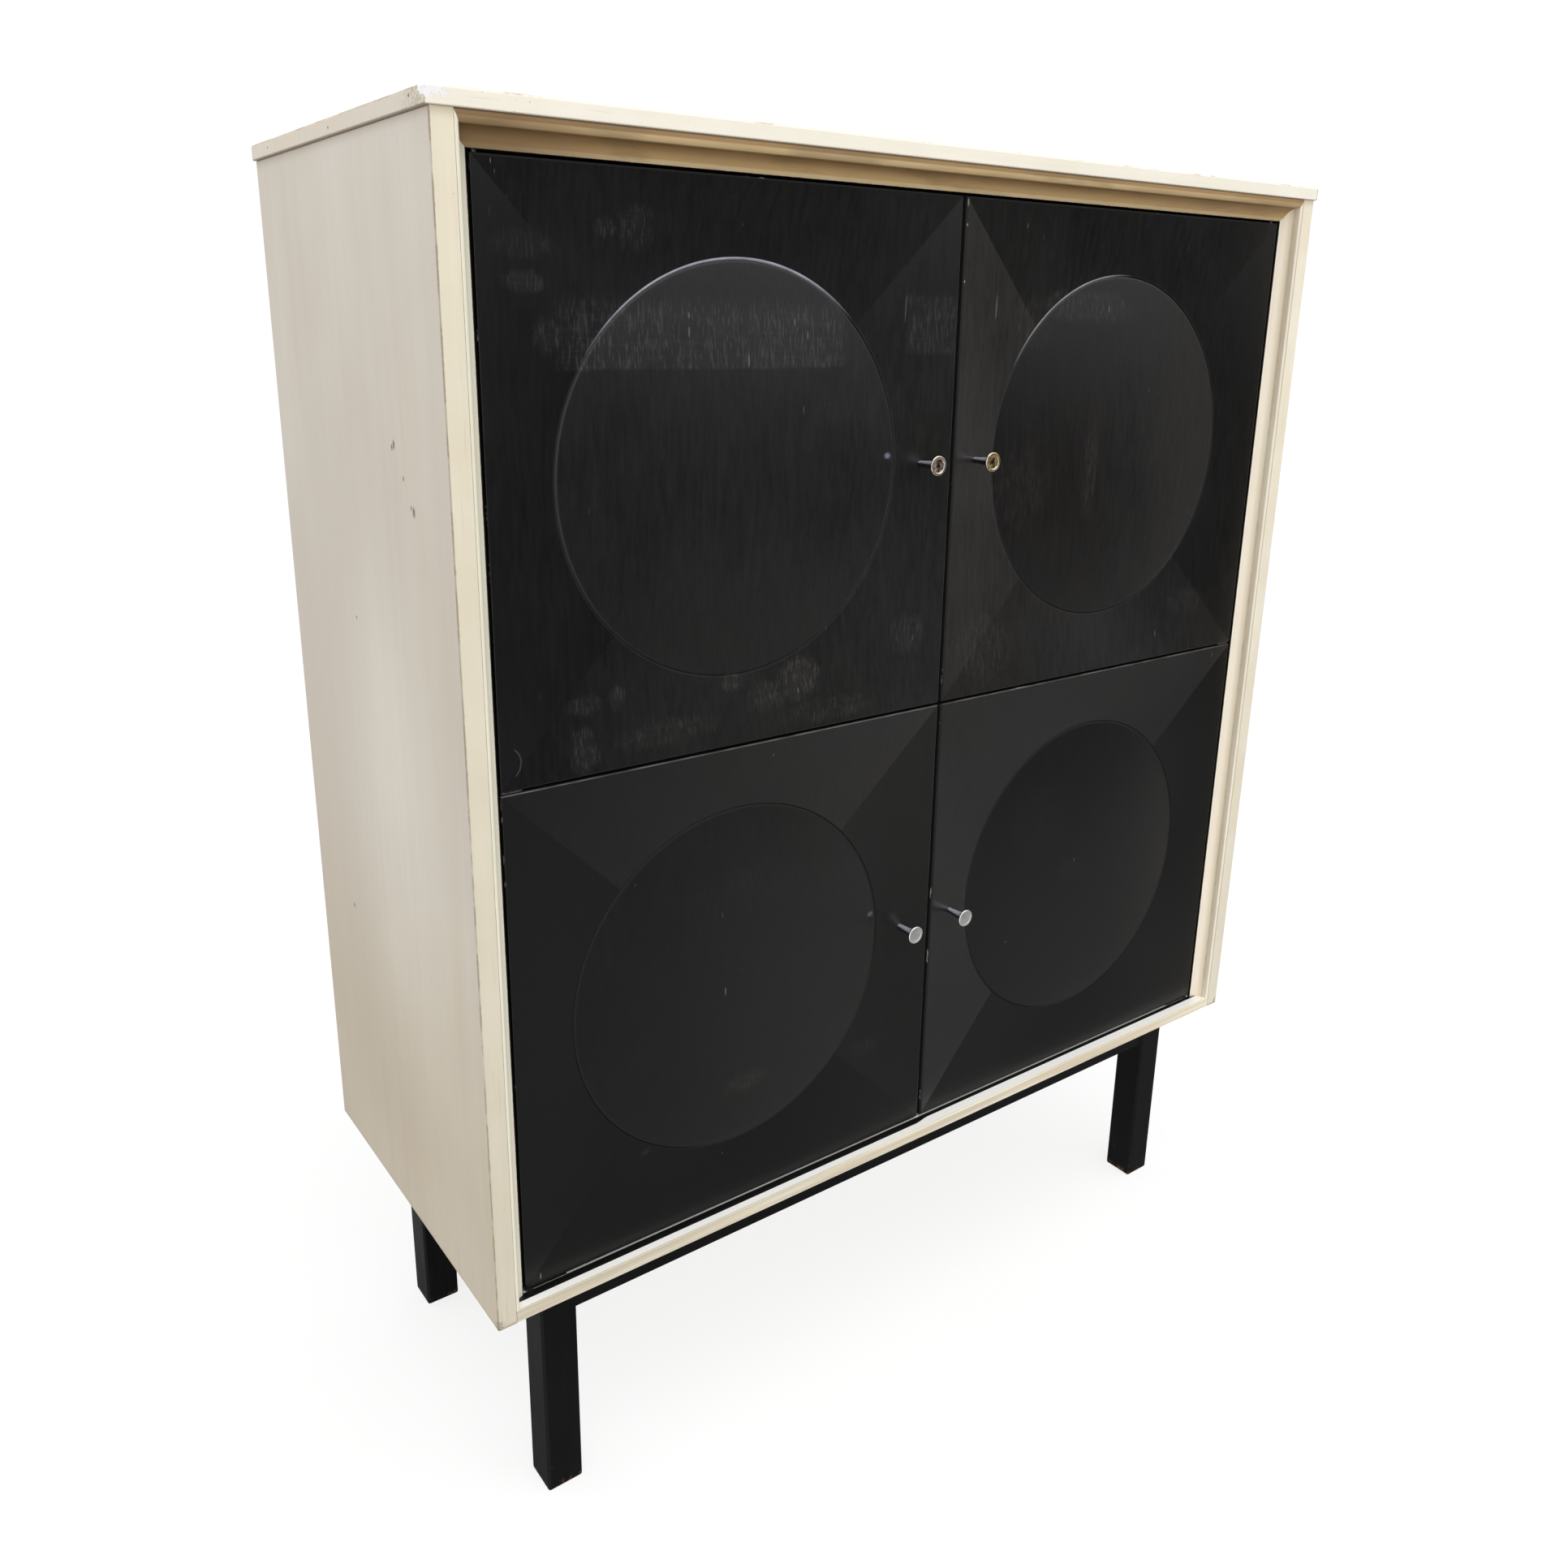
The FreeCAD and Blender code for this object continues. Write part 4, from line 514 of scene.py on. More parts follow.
def door_paint(name):
    """Black painted doors: a faint upright grain above, a smoother coat below."""
    upper = name.startswith("upper")
    left = name.endswith("left")
    p = Paint("black_door_" + name)
    s = 1.7 + DOORS.index(name) * 3.3
    cx = 0.257125 * (-1 if left else 1)
    cz = 1.0525625 if upper else 0.5391875
    u, v = p.sub(p.x, cx), p.sub(p.z, cz)
    au, av = p.math("ABSOLUTE", u), p.math("ABSOLUTE", v)
    r = p.far2(u, v)
    front = p.step(p.y, DOOR_Y + 0.016, DOOR_Y + 0.0145)
    # painted light and shade: the tone of the facets and of the dome
    along = (u, v, u, v, u)
    t_top, t_right, t_low, t_left, t_dome = (
        p.lin(c, -0.25 if i < 4 else -0.19, 0.25 if i < 4 else 0.19, *ends)
        for i, (c, ends) in enumerate(zip(along, FACET_LIGHT[name])))
    upright = p.add(t_low, p.mul(p.step(v, -0.002, 0.002), p.sub(t_top, t_low)))
    level = p.add(t_left, p.mul(p.step(u, -0.002, 0.002), p.sub(t_right, t_left)))
    facet = p.add(upright, p.mul(p.step(p.sub(au, av), -0.0012, 0.0012), p.sub(level, upright)))
    inside = p.step(r, RIM_R + 0.0006, RIM_R - 0.0006)
    tone = p.add(facet, p.mul(inside, p.sub(t_dome, facet)))
    # grain of the wood under the paint
    fibre = p.noise((560, 560, 64), (s, 0, s), detail=3, rough=0.6)
    strand = p.noise((190, 190, 26), (0, s, s), detail=4, rough=0.6, distort=0.3)
    weft = p.noise((34, 34, 380), (s, 5, 0), detail=2)
    cloud = p.noise((7, 7, 6), (s, s, 0), detail=5, rough=0.6)
    grain = p.add(p.mul(p.sub(fibre, 0.5), 1.0 if upper else 0.35), p.mul(p.sub(strand, 0.5), 0.65 if upper else 0.40))
    grain = p.add(grain, p.mul(p.sub(weft, 0.5), 0.16 if upper else 0.08))
    grain = p.add(grain, p.mul(p.sub(cloud, 0.5), 0.9 if upper else 0.5))
    tone = p.mul(tone, p.math("MAXIMUM", p.add(grain, 1.0), 0.15))
    # rubbed and scuffed patches; the band across the upper third of the upper left door is scuffs with a painted
    # reflection
    if upper and left:
        scuff_reflection_band = p.mul(p.step(p.add(p.z, p.mul(p.sub(cloud, 0.5), 0.010)), 1.1468, 1.1500), p.step(p.z, 1.2150, 1.1900))
        scuff_reflection_band = p.mul(scuff_reflection_band, p.mul(p.step(p.x, -0.455, -0.415, 0.0, 1.0), p.step(p.x, -0.130, -0.150)))
        side_band = p.mul(p.mul(p.step(p.x, -0.066, -0.060), p.step(p.z, 1.158, 1.163)), p.step(p.z, 1.218, 1.210))
        rub = p.high(p.mul(scuff_reflection_band, 0.9), p.mul(side_band, 0.6))
        rub = p.high(rub, smudges(p, ((-0.447, 1.176, 0.016, 0.016, 0.8), (-0.469, 1.2164, 0.020, 0.010, 0.8),
                                      (-0.394, 1.260, 0.012, 0.010, 0.7), (-0.364, 1.262, 0.020, 0.022, 0.6),
                                      (-0.470, 1.245, 0.030, 0.012, 0.35), (-0.186, 0.850, 0.026, 0.022, 1.0),
                                      (-0.263, 0.857, 0.016, 0.010, 0.8), (-0.222, 0.838, 0.030, 0.016, 0.6),
                                      (-0.425, 0.861, 0.018, 0.010, 0.7), (-0.392, 0.862, 0.010, 0.012, 0.6),
                                      (-0.430, 0.820, 0.016, 0.022, 0.8), (-0.051, 0.878, 0.026, 0.024, 0.6),
                                      (-0.150, 0.815, 0.060, 0.014, 0.4), (-0.340, 0.822, 0.060, 0.014, 0.4)), s))
    elif upper:
        rub = smudges(p, ((0.200, 1.208, 0.080, 0.018, 0.7), (0.060, 0.850, 0.050, 0.040, 0.45),
                          (0.215, 1.030, 0.012, 0.060, 0.5), (0.115, 1.190, 0.030, 0.030, 0.4),
                          (0.420, 0.860, 0.040, 0.020, 0.35), (0.110, 1.020, 0.040, 0.050, 0.3)), s)
    elif left:
        rub = smudges(p, ((-0.2509, 0.4189, 0.028, 0.012, 0.9), (-0.085, 0.400, 0.020, 0.014, 0.5),
                          (-0.369, 0.3765, 0.007, 0.004, 0.9), 
                          (-0.250, 0.640, 0.070, 0.030, 0.22)), s)
    else:
        rub = smudges(p, ((0.240, 0.545, 0.030, 0.016, 0.25), (0.180, 0.620, 0.050, 0.050, 0.2)), s)
    dash = p.add(p.step(fibre, 0.50, 0.66, 0.0, 0.75), p.step(weft, 0.52, 0.68, 0.0, 0.12))
    marks = p.mul(dash, rub)
    tone = p.add(tone, p.mul(marks, 0.034 if upper else 0.018))
    tone = p.add(tone, p.mul(rub, 0.006 if upper else 0.003))
    tint = p.noise((4, 4, 4), (1, s, 6), detail=2)
    cool, warm = (1.0, 1.0, 1.04, 1), (1.06, 1.0, 0.95, 1)
    if name == "upper_left":
        cool = (0.98, 0.99, 1.08, 1)
    if name == "upper_right":
        warm = (1.16, 0.98, 0.90, 1)
    hue = p.mix(p.step(tint, 0.42, 0.60), cool, warm)
    if name == "upper_right":
        # painted reflection: a warmer tint on the right half of the dome and on the facet just left of the rim
        hue = p.mix(p.mul(inside, p.step(u, -0.03, 0.07)), hue, (1.15, 1.0, 0.93, 1))
        hue = p.mix(p.mul(p.step(r, RIM_R, RIM_R + 0.01), p.step(u, -0.05, -0.16)), hue, (1.12, 1.0, 0.90, 1))
    col = p.tone(hue, tone)
    # sparse pale nicks, short and upright
    nick = p.noise((300, 300, 46), (s, 9, 1), detail=1)
    sparse = p.noise((15, 15, 13), (9, s, 5), detail=1)
    nicks = p.mul(p.step(nick, 0.745 if upper else 0.78, 0.80), p.step(sparse, 0.60, 0.70))
    if upper and left:
        for x, z, hz in ((-0.3137, 1.1792, 0.005), (-0.3130, 1.1930, 0.003), (-0.2519, 1.1550, 0.006),
                         (-0.1989, 1.1884, 0.004), (-0.1837, 1.1771, 0.004), (-0.1879, 0.8383, 0.003)):
            nicks = p.high(nicks, p.mul(p.step(p.dist((x, DOOR_Y, z), (1 / 0.0010, 0.0, 1 / hz)), 1.1, 0.6), 0.5))
        curve = p.math("ABSOLUTE", p.sub(p.far2(p.sub(p.x, -0.5060), p.sub(p.z, 0.8220)), 0.0150))
        arc = p.mul(p.step(curve, 0.0010, 0.0004), p.mul(p.step(p.x, -0.4975, -0.4960), p.step(p.z, 0.8360, 0.8340)))
        nicks = p.high(nicks, p.mul(arc, 0.25))
    if upper:
        # one fine upright scratch on either side of the middle gap
        sx, sz = (-0.0651, 1.2024) if left else (0.0569, 1.2058)
        scratch = p.step(p.dist((sx, DOOR_Y, sz), (1 / 0.0011, 0.0, 1 / 0.015)), 1.0, 0.6)
        nicks = p.high(nicks, p.mul(scratch, p.lin(fibre, 0.35, 0.65, 0.25, 0.7 if not left else 0.45)))
    col = p.mix(p.mul(nicks, 0.6), col, srgb(140, 138, 134))
    # thin rubbed line on the arrises, strongest on the lower doors' top edge
    w2, h2 = 0.254875, 0.2551875
    ex, ez = p.sub(w2, au), p.sub(h2, av)
    face = p.step(p.y, DOOR_Y + 0.0030, DOOR_Y + 0.0014)
    chip = p.noise((120, 120, 120), (s, 2, 2), detail=4, rough=0.75)
    broken = p.noise((26, 26, 26), (3, 3, s), detail=2)
    top_line = p.mul(p.step(ez, 0.0014, 0.0007), p.step(v, 0.0, 0.01))
    low_line = p.mul(p.step(ez, 0.0012, 0.0005), p.step(v, 0.0, -0.01))
    inner_line = p.mul(p.step(ex, 0.0014, 0.0006), p.step(u, 0.0, 0.01)) if left else 0.0
    if upper:
        line = p.high(p.mul(inner_line, p.step(broken, 0.44, 0.60, 0.03, 0.22)), p.mul(low_line, 0.10))
    else:
        line = p.high(p.mul(top_line, p.step(broken, 0.36, 0.62, 0.14, 0.55)), p.mul(inner_line, p.step(broken, 0.40, 0.62, 0.04, 0.28)))
        line = p.high(line, p.mul(low_line, 0.2))
    col = p.mix(p.mul(p.mul(line, face), 0.8), col, srgb(120, 118, 114))
    # painted shade: the rounded arris at the middle gap on the right doors and along the top of the upper doors is
    # painted dead black and dull, hiding its highlight and widening the dark gap
    arris_shade = p.mul(p.step(ex, 0.0034, 0.0022), p.step(u, 0.0, -0.01)) if not left else 0.0
    if upper:
        arris_shade = p.high(arris_shade, p.mul(p.step(ez, 0.0024, 0.0014), p.step(v, 0.0, 0.01)))
    if upper or not left:
        col = p.mix(p.mul(arris_shade, 0.9), col, srgb(4, 4, 4))
    if upper and not left:
        for z, hz in ((1.3020, 0.0045), (1.2814, 0.0018), (1.2287, 0.0016)):
            bare = p.step(p.dist((0.0046, DOOR_Y, z), (1 / 0.0012, 0.0, 1 / hz)), 1.0, 0.6)
            col = p.mix(p.mul(bare, 0.7), col, srgb(170, 150, 118))
    edge = p.math("MINIMUM", ex, ez)
    spot = p.mul(p.step(p.sub(edge, p.mad(chip, 0.0046, -0.0024)), 0.0004, -0.0002), p.step(broken, 0.60, 0.66))
    col = p.mix(p.mul(p.mul(spot, face), 0.8), col, srgb(170, 162, 150))
    # the edges of the door, behind its front arris, are dull black
    deep = p.mul(p.step(p.y, DOOR_Y + 0.0012, DOOR_Y + 0.0026), p.step(edge, 0.0008, 0.0002))
    col = p.mix(deep, col, srgb(5, 5, 5))
    # painted highlight: a pale arc on the rim over the top of the upper domes; on the lower doors the rim is painted
    # dark and dull as painted shade, with a faint painted highlight at its lower right
    if upper:
        turn, wide, full = (97, 0.62, 0.95) if left else (119, 0.83, 0.98)
        aim = p.add(p.mul(u, math.cos(math.radians(turn))), p.mul(v, math.sin(math.radians(turn))))
        arc = p.step(p.math("DIVIDE", aim, p.high(r, 0.01)), wide, full)
        rim = p.step(p.math("ABSOLUTE", p.sub(r, RIM_R + 0.0010)), 0.0015, 0.0006)
        ragged = p.lin(p.noise((60, 60, 60), (s, 4, 4), detail=3), 0.3, 0.7, 0.65, 1.0)
        col = p.mix(p.mul(p.mul(rim, ragged), p.mad(arc, 0.88, 0.02)), col,
                    srgb(196, 199, 209) if left else srgb(180, 180, 180))
        rim_shade = 0.0
    else:
        rim_shade = p.step(p.math("ABSOLUTE", p.sub(r, RIM_R - 0.0006)), 0.0026, 0.0014)
        arc = p.step(p.math("DIVIDE", p.add(p.mul(u, 0.5), p.mul(v, -0.866)), p.high(r, 0.01)), 0.5, 0.9)
        col = p.mix(p.mul(rim_shade, 0.6), col, srgb(8, 8, 8))
        col = p.mix(p.mul(p.mul(rim_shade, arc), 0.12), col, srgb(84, 84, 84))
    if left:
        # small glint beside the knob
        gz = 1.0624 if upper else 0.5641
        glint = p.near((-0.0787, DOOR_Y, gz), 0.0009, 0.0032, (0.7, 0.0, 1.0))
        col = p.mix(p.mul(glint, 0.6 if upper else 0.4), col, srgb(146, 146, 166) if upper else srgb(120, 120, 122))
    height = p.add(p.mul(fibre, 0.5 if upper else 0.2), p.mul(strand, 0.6 if upper else 0.35))
    height = p.add(height, p.mul(weft, 0.16 if upper else 0.06))
    height = p.add(height, p.mul(spot, -0.8))
    wave = p.noise((9, 9, 9), (s, 3, 3), detail=2)
    normal = p.bump(wave, 0.10, 0.004)
    normal = p.bump(height, 0.24 if upper else 0.12, 0.0006, normal)
    rough = p.lin(p.add(p.mul(strand, 0.5), p.mul(cloud, 0.5)), 0.35, 0.65,
                  0.27 if upper else 0.28, 0.40 if upper else 0.36)
    rough = p.add(rough, p.mul(marks, 0.12))
    rough = p.add(rough, p.mul(deep, 0.4))
    if not upper:
        rough = p.add(rough, p.mul(rim_shade, 0.30))
    if upper or not left:
        rough = p.add(rough, p.mul(arris_shade, 0.30))
    # the back of the door is flat and evenly painted
    plain = p.mix(p.lin(cloud, 0.3, 0.7), srgb(17, 17, 17), srgb(25, 25, 25))
    col = p.mix(front, p.tone(plain, p.lin(strand, 0.3, 0.7, 0.85, 1.15)), col)
    rough = p.add(p.mul(front, rough), p.mad(front, -0.40, 0.40))
    return p.finish(col, rough, normal, specular=0.39 if upper else 0.35)


def base_paint(name, along, seed):
    """Satin black paint of legs and rails, with dust; the legs are worn and scuffed at the foot."""
    p = Paint(name)
    k = {"z": (300, 300, 9), "x": (9, 300, 300), "y": (300, 9, 300)}[along]
    fibre = p.noise(k, (seed, seed, seed), detail=4)
    cloud = p.noise((14, 14, 9), (seed, 0, 2), detail=4)
    col = p.mix(p.lin(fibre, 0.35, 0.65), srgb(6, 6, 7), srgb(11, 11, 12))
    col = p.tone(col, p.lin(cloud, 0.3, 0.7, 0.8, 1.25))
    dust = p.mul(p.step(cloud, 0.55, 0.75), p.step(fibre, 0.5, 0.7))
    col = p.mix(p.mul(dust, 0.16), col, srgb(60, 58, 56))
    if along == "z":
        n = p.noise((160, 160, 160), (seed, 1, 1), detail=4, rough=0.7)
        foot = p.mul(p.step(p.z, 0.010, 0.001), p.step(n, 0.50, 0.60))
        col = p.mix(p.mul(foot, 0.85), col, srgb(120, 84, 52))
        scuff = p.mul(p.step(p.z, 0.07, 0.01), p.step(n, 0.62, 0.70))
        col = p.mix(p.mul(scuff, 0.35), col, srgb(88, 82, 74))
    normal = p.bump(p.add(fibre, p.mul(cloud, 0.5)), 0.28, 0.0005)
    return p.finish(col, p.lin(cloud, 0.3, 0.7, 0.32, 0.48), normal, specular=0.15)


# ------------------------------------------------------------------------ metals
def knob_paint(name, brass, xc, zc, tint):
    """Knob: plated metal. The head has a brighter ring round a worn centre."""
    p = Paint("knob_" + name)
    r = p.far2(p.sub(p.x, xc), p.sub(p.z, zc))
    mott = p.noise((260, 260, 260), (xc * 40, 1, zc * 10), detail=4, rough=0.7)
    fine = p.noise((1400, 1400, 1400), (2, xc, 1), detail=2)
    head = p.step(p.y, FRONT + 0.0008, FRONT - 0.0012)
    # painted highlight and shade: the stem is painted pale on its upper side and dark below
    stem = p.mix(p.step(p.sub(p.z, zc), 0.0002, 0.0024), srgb(50, 49, 56), srgb(224, 226, 240))
    if brass:
        metal = p.mix(p.step(mott, 0.4, 0.62), tint, srgb(236, 226, 206))
        centre = p.mix(p.step(mott, 0.44, 0.62), srgb(74, 58, 42), tint)
        inside = p.step(r, 0.0072, 0.0060)
        spot = p.step(p.add(r, p.mul(p.sub(mott, 0.5), 0.004)), 0.0034, 0.0018)
        face = p.mix(inside, metal, p.mix(spot, centre, srgb(60, 44, 34)))
        col = p.mix(head, stem, face)
        rough = p.add(p.lin(mott, 0.3, 0.7, 0.16, 0.34), p.mul(p.mul(inside, head), 0.20))
    else:
        face = p.mix(p.step(mott, 0.35, 0.7), srgb(206, 204, 202), srgb(226, 224, 222))
        ring = p.step(r, 0.0074, 0.0086)
        face = p.mix(ring, face, srgb(238, 238, 238))
        col = p.mix(head, stem, face)
        rough = p.add(p.lin(fine, 0.3, 0.7, 0.16, 0.24), p.mul(p.mul(head, p.step(r, 0.0082, 0.0072)), 0.30))
    col = p.mix(p.mul(p.step(fine, 0.62, 0.72), 0.25), col, srgb(110, 100, 90))
    normal = p.bump(mott, 0.10, 0.0002)
    return p.finish(col, rough, normal, metallic=p.mad(head, 0.34, 0.66), specular=0.5)


def steel(name, tone, rough_lo, rough_hi, seed):
    p = Paint(name)
    brush = p.noise((900, 900, 60), (seed, 0, 0), detail=3)
    cloud = p.noise((90, 90, 90), (0, seed, 0), detail=4)
    col = p.mix(p.lin(cloud, 0.3, 0.7), tone, tuple(0.72 * c for c in tone[:3]) + (1.0,))
    rust = p.step(p.noise((150, 150, 150), (seed, 3, 1), detail=5, rough=0.7), 0.66, 0.74)
    col = p.mix(p.mul(rust, 0.35), col, srgb(116, 84, 58))
    rough = p.lin(brush, 0.3, 0.7, rough_lo, rough_hi)
    metallic = p.lin(rust, 0.0, 1.0, 1.0, 0.6)
    return p.finish(col, rough, p.bump(brush, 0.12, 0.0002), metallic=metallic, specular=0.5)


def soft_wood():
    p = Paint("soft_wood")
    rings = p.noise((16, 120, 120), (1, 2, 0), detail=4, rough=0.6, distort=0.7)
    pores = p.noise((60, 700, 700), (0, 2, 4), detail=2)
    col = p.mix(p.lin(rings, 0.35, 0.65), srgb(176, 138, 92), srgb(206, 170, 122))
    col = p.mix(p.step(pores, 0.6, 0.74, 0, 0.4), col, srgb(132, 98, 62))
    return p.finish(col, p.lin(pores, 0.3, 0.7, 0.6, 0.75), p.bump(pores, 0.25, 0.0004), specular=0.3)


def moulded(name, a, b, rough):
    p = Paint(name)
    n = p.noise((500, 500, 500), (3, 1, 2), detail=3)
    cloud = p.noise((60, 60, 60), (1, 0, 0), detail=2)
    col = p.mix(p.lin(cloud, 0.3, 0.7), a, b)
    return p.finish(col, p.lin(n, 0.3, 0.7, rough, rough + 0.12), p.bump(n, 0.15, 0.0002), specular=0.45)


# --------------------------------------------------------------------- assignment
def dress(names, mat):
    for n in ([names] if isinstance(names, str) else names):
        ob = node[n]
        for i in range(max(1, len(ob.material_slots))):
            if ob.material_slots:
                ob.material_slots[i].material = mat
            else:
                ob.data.materials.append(mat)


dress("left_side_panel", side_paint(True))
dress("right_side_panel", side_paint(False))
dress("top_panel", top_paint())
dress("left_moulding", moulding_paint("left"))
dress("right_moulding", moulding_paint("right"))
dress("top_moulding", moulding_paint("top"))
dress("bottom_front_strip", moulding_paint("bottom"))
dress(["bottom_panel", "middle_shelf"], inside_paint("inside_flat", "x"))
dress(["upper_divider", "lower_divider"], inside_paint("inside_upright", "z"))
dress(["shelf_upper_left", "shelf_upper_right", "shelf_lower_left", "shelf_lower_right"],
      inside_paint("inside_shelf", "x"))
dress("back_panel", board_back())
for i, n in enumerate(("front_left_leg", "front_right_leg", "rear_left_leg", "rear_right_leg")):
    dress(n, base_paint("black_" + n, "z", 1.9 + i))
dress(["front_rail", "rear_rail"], base_paint("black_long_rail", "x", 5.5))
dress(["left_rail", "right_rail"], base_paint("black_side_rail", "y", 6.5))
dress("corner_blocks", soft_wood())
dress("catch_housings", moulded("catch_plastic", srgb(214, 208, 192), srgb(200, 192, 174), 0.42))
dress("catch_magnets", moulded("ferrite", srgb(44, 44, 47), srgb(60, 58, 58), 0.6))
plate = steel("plated_steel", srgb(112, 111, 108), 0.42, 0.56, 2.0)
dress(["fixed_pivot_plates", "centre_pivot_brackets", "pivot_pins", "shelf_pins", "small_wood_screws"], plate)
dress(["base_screws", "back_panel_screws"], steel("dull_steel", srgb(150, 144, 134), 0.36, 0.56, 4.0))
dress("pivot_washers", steel("washer_steel", srgb(96, 95, 93), 0.36, 0.52, 6.0))
for d in DOORS:
    dress(["pivot_plates_" + d, "strike_plate_" + d, "door_screws_" + d, "knob_screw_" + d], plate)


# --------------------------------------------------------------------- the doors
def door_rings(w, h, roll, fall):
    """Rings of points from the middle of the back, round the edge, to the dome's centre.
    Each ring is (points, crease), crease telling whether its edges are sharp; x and z from the door's centre, y from
    its front."""
    n = 384
    side = n // 4
    rings = []

    def square(inset, y, crease=False):
        a, b = w / 2 - inset, h / 2 - inset
        pts = []
        for k in range(n):
            q, s = divmod(k, side)
            t = s / side
            if q == 0:
                pts.append((-a + 2 * a * t, y, -b))
            elif q == 1:
                pts.append((a, y, -b + 2 * b * t))
            elif q == 2:
                pts.append((a - 2 * a * t, y, b))
            else:
                pts.append((-a, y, b - 2 * b * t))
        rings.append((pts, crease))
        return pts

    def circle(r, y, crease=False):
        pts = []
        for k in range(n):
            ang = -0.75 * math.pi + 2 * math.pi * k / n
            pts.append((r * math.cos(ang), y, r * math.sin(ang)))
        rings.append((pts, crease))
        return pts

    t = DOOR_T
    for inset in (0.19, 0.11, 0.045, 0.010):
        square(inset, t)
    square(0.0012, t)
    square(0.0005, t - 0.0002)
    square(0.0001, t - 0.0007)
    square(0.0, t - 0.0013)
    square(0.0, 0.0016)
    square(0.0001, 0.0008)
    square(0.0004, 0.0003)
    square(0.0009, 0.0)
    land = square(0.0015, 0.0, True)
    lip = 0.0008
    # ruled faces from the square land to the circular rim
    steps = 40
    end = []
    for k in range(n):
        ang = -0.75 * math.pi + 2 * math.pi * k / n
        end.append(((RIM_R + lip) * math.cos(ang), RIM_D, (RIM_R + lip) * math.sin(ang)))
    for i in range(1, steps + 1):
        f = i / steps
        pts = [tuple(a + (b - a) * f for a, b in zip(p, q)) for p, q in zip(land, end)]
        rings.append((pts, i == steps))
    circle(RIM_R + 0.0005, RIM_D + 0.0010)
    circle(RIM_R + 0.0002, RIM_D + 0.0013, True)
    circle(RIM_R - 0.0001, RIM_D + 0.0012)
    r0 = RIM_R - lip
    big = (r0 * r0 + RISE * RISE) / (2 * RISE)
    for i in range(0, 9):
        t = i / 9
        r = RIM_R - 0.0002 - roll * t
        y = RIM_D - RISE + big - math.sqrt(big * big - r * r) + fall * (1 - math.sqrt(1 - (1 - t) ** 2))
        circle(r, y)
    r1 = RIM_R - 0.0002 - roll
    for i in range(0, 36):
        r = r1 * (1 - i / 36)
        y = RIM_D - RISE + big - math.sqrt(big * big - r * r)
        circle(r, y)
    return rings, RIM_D - RISE, n


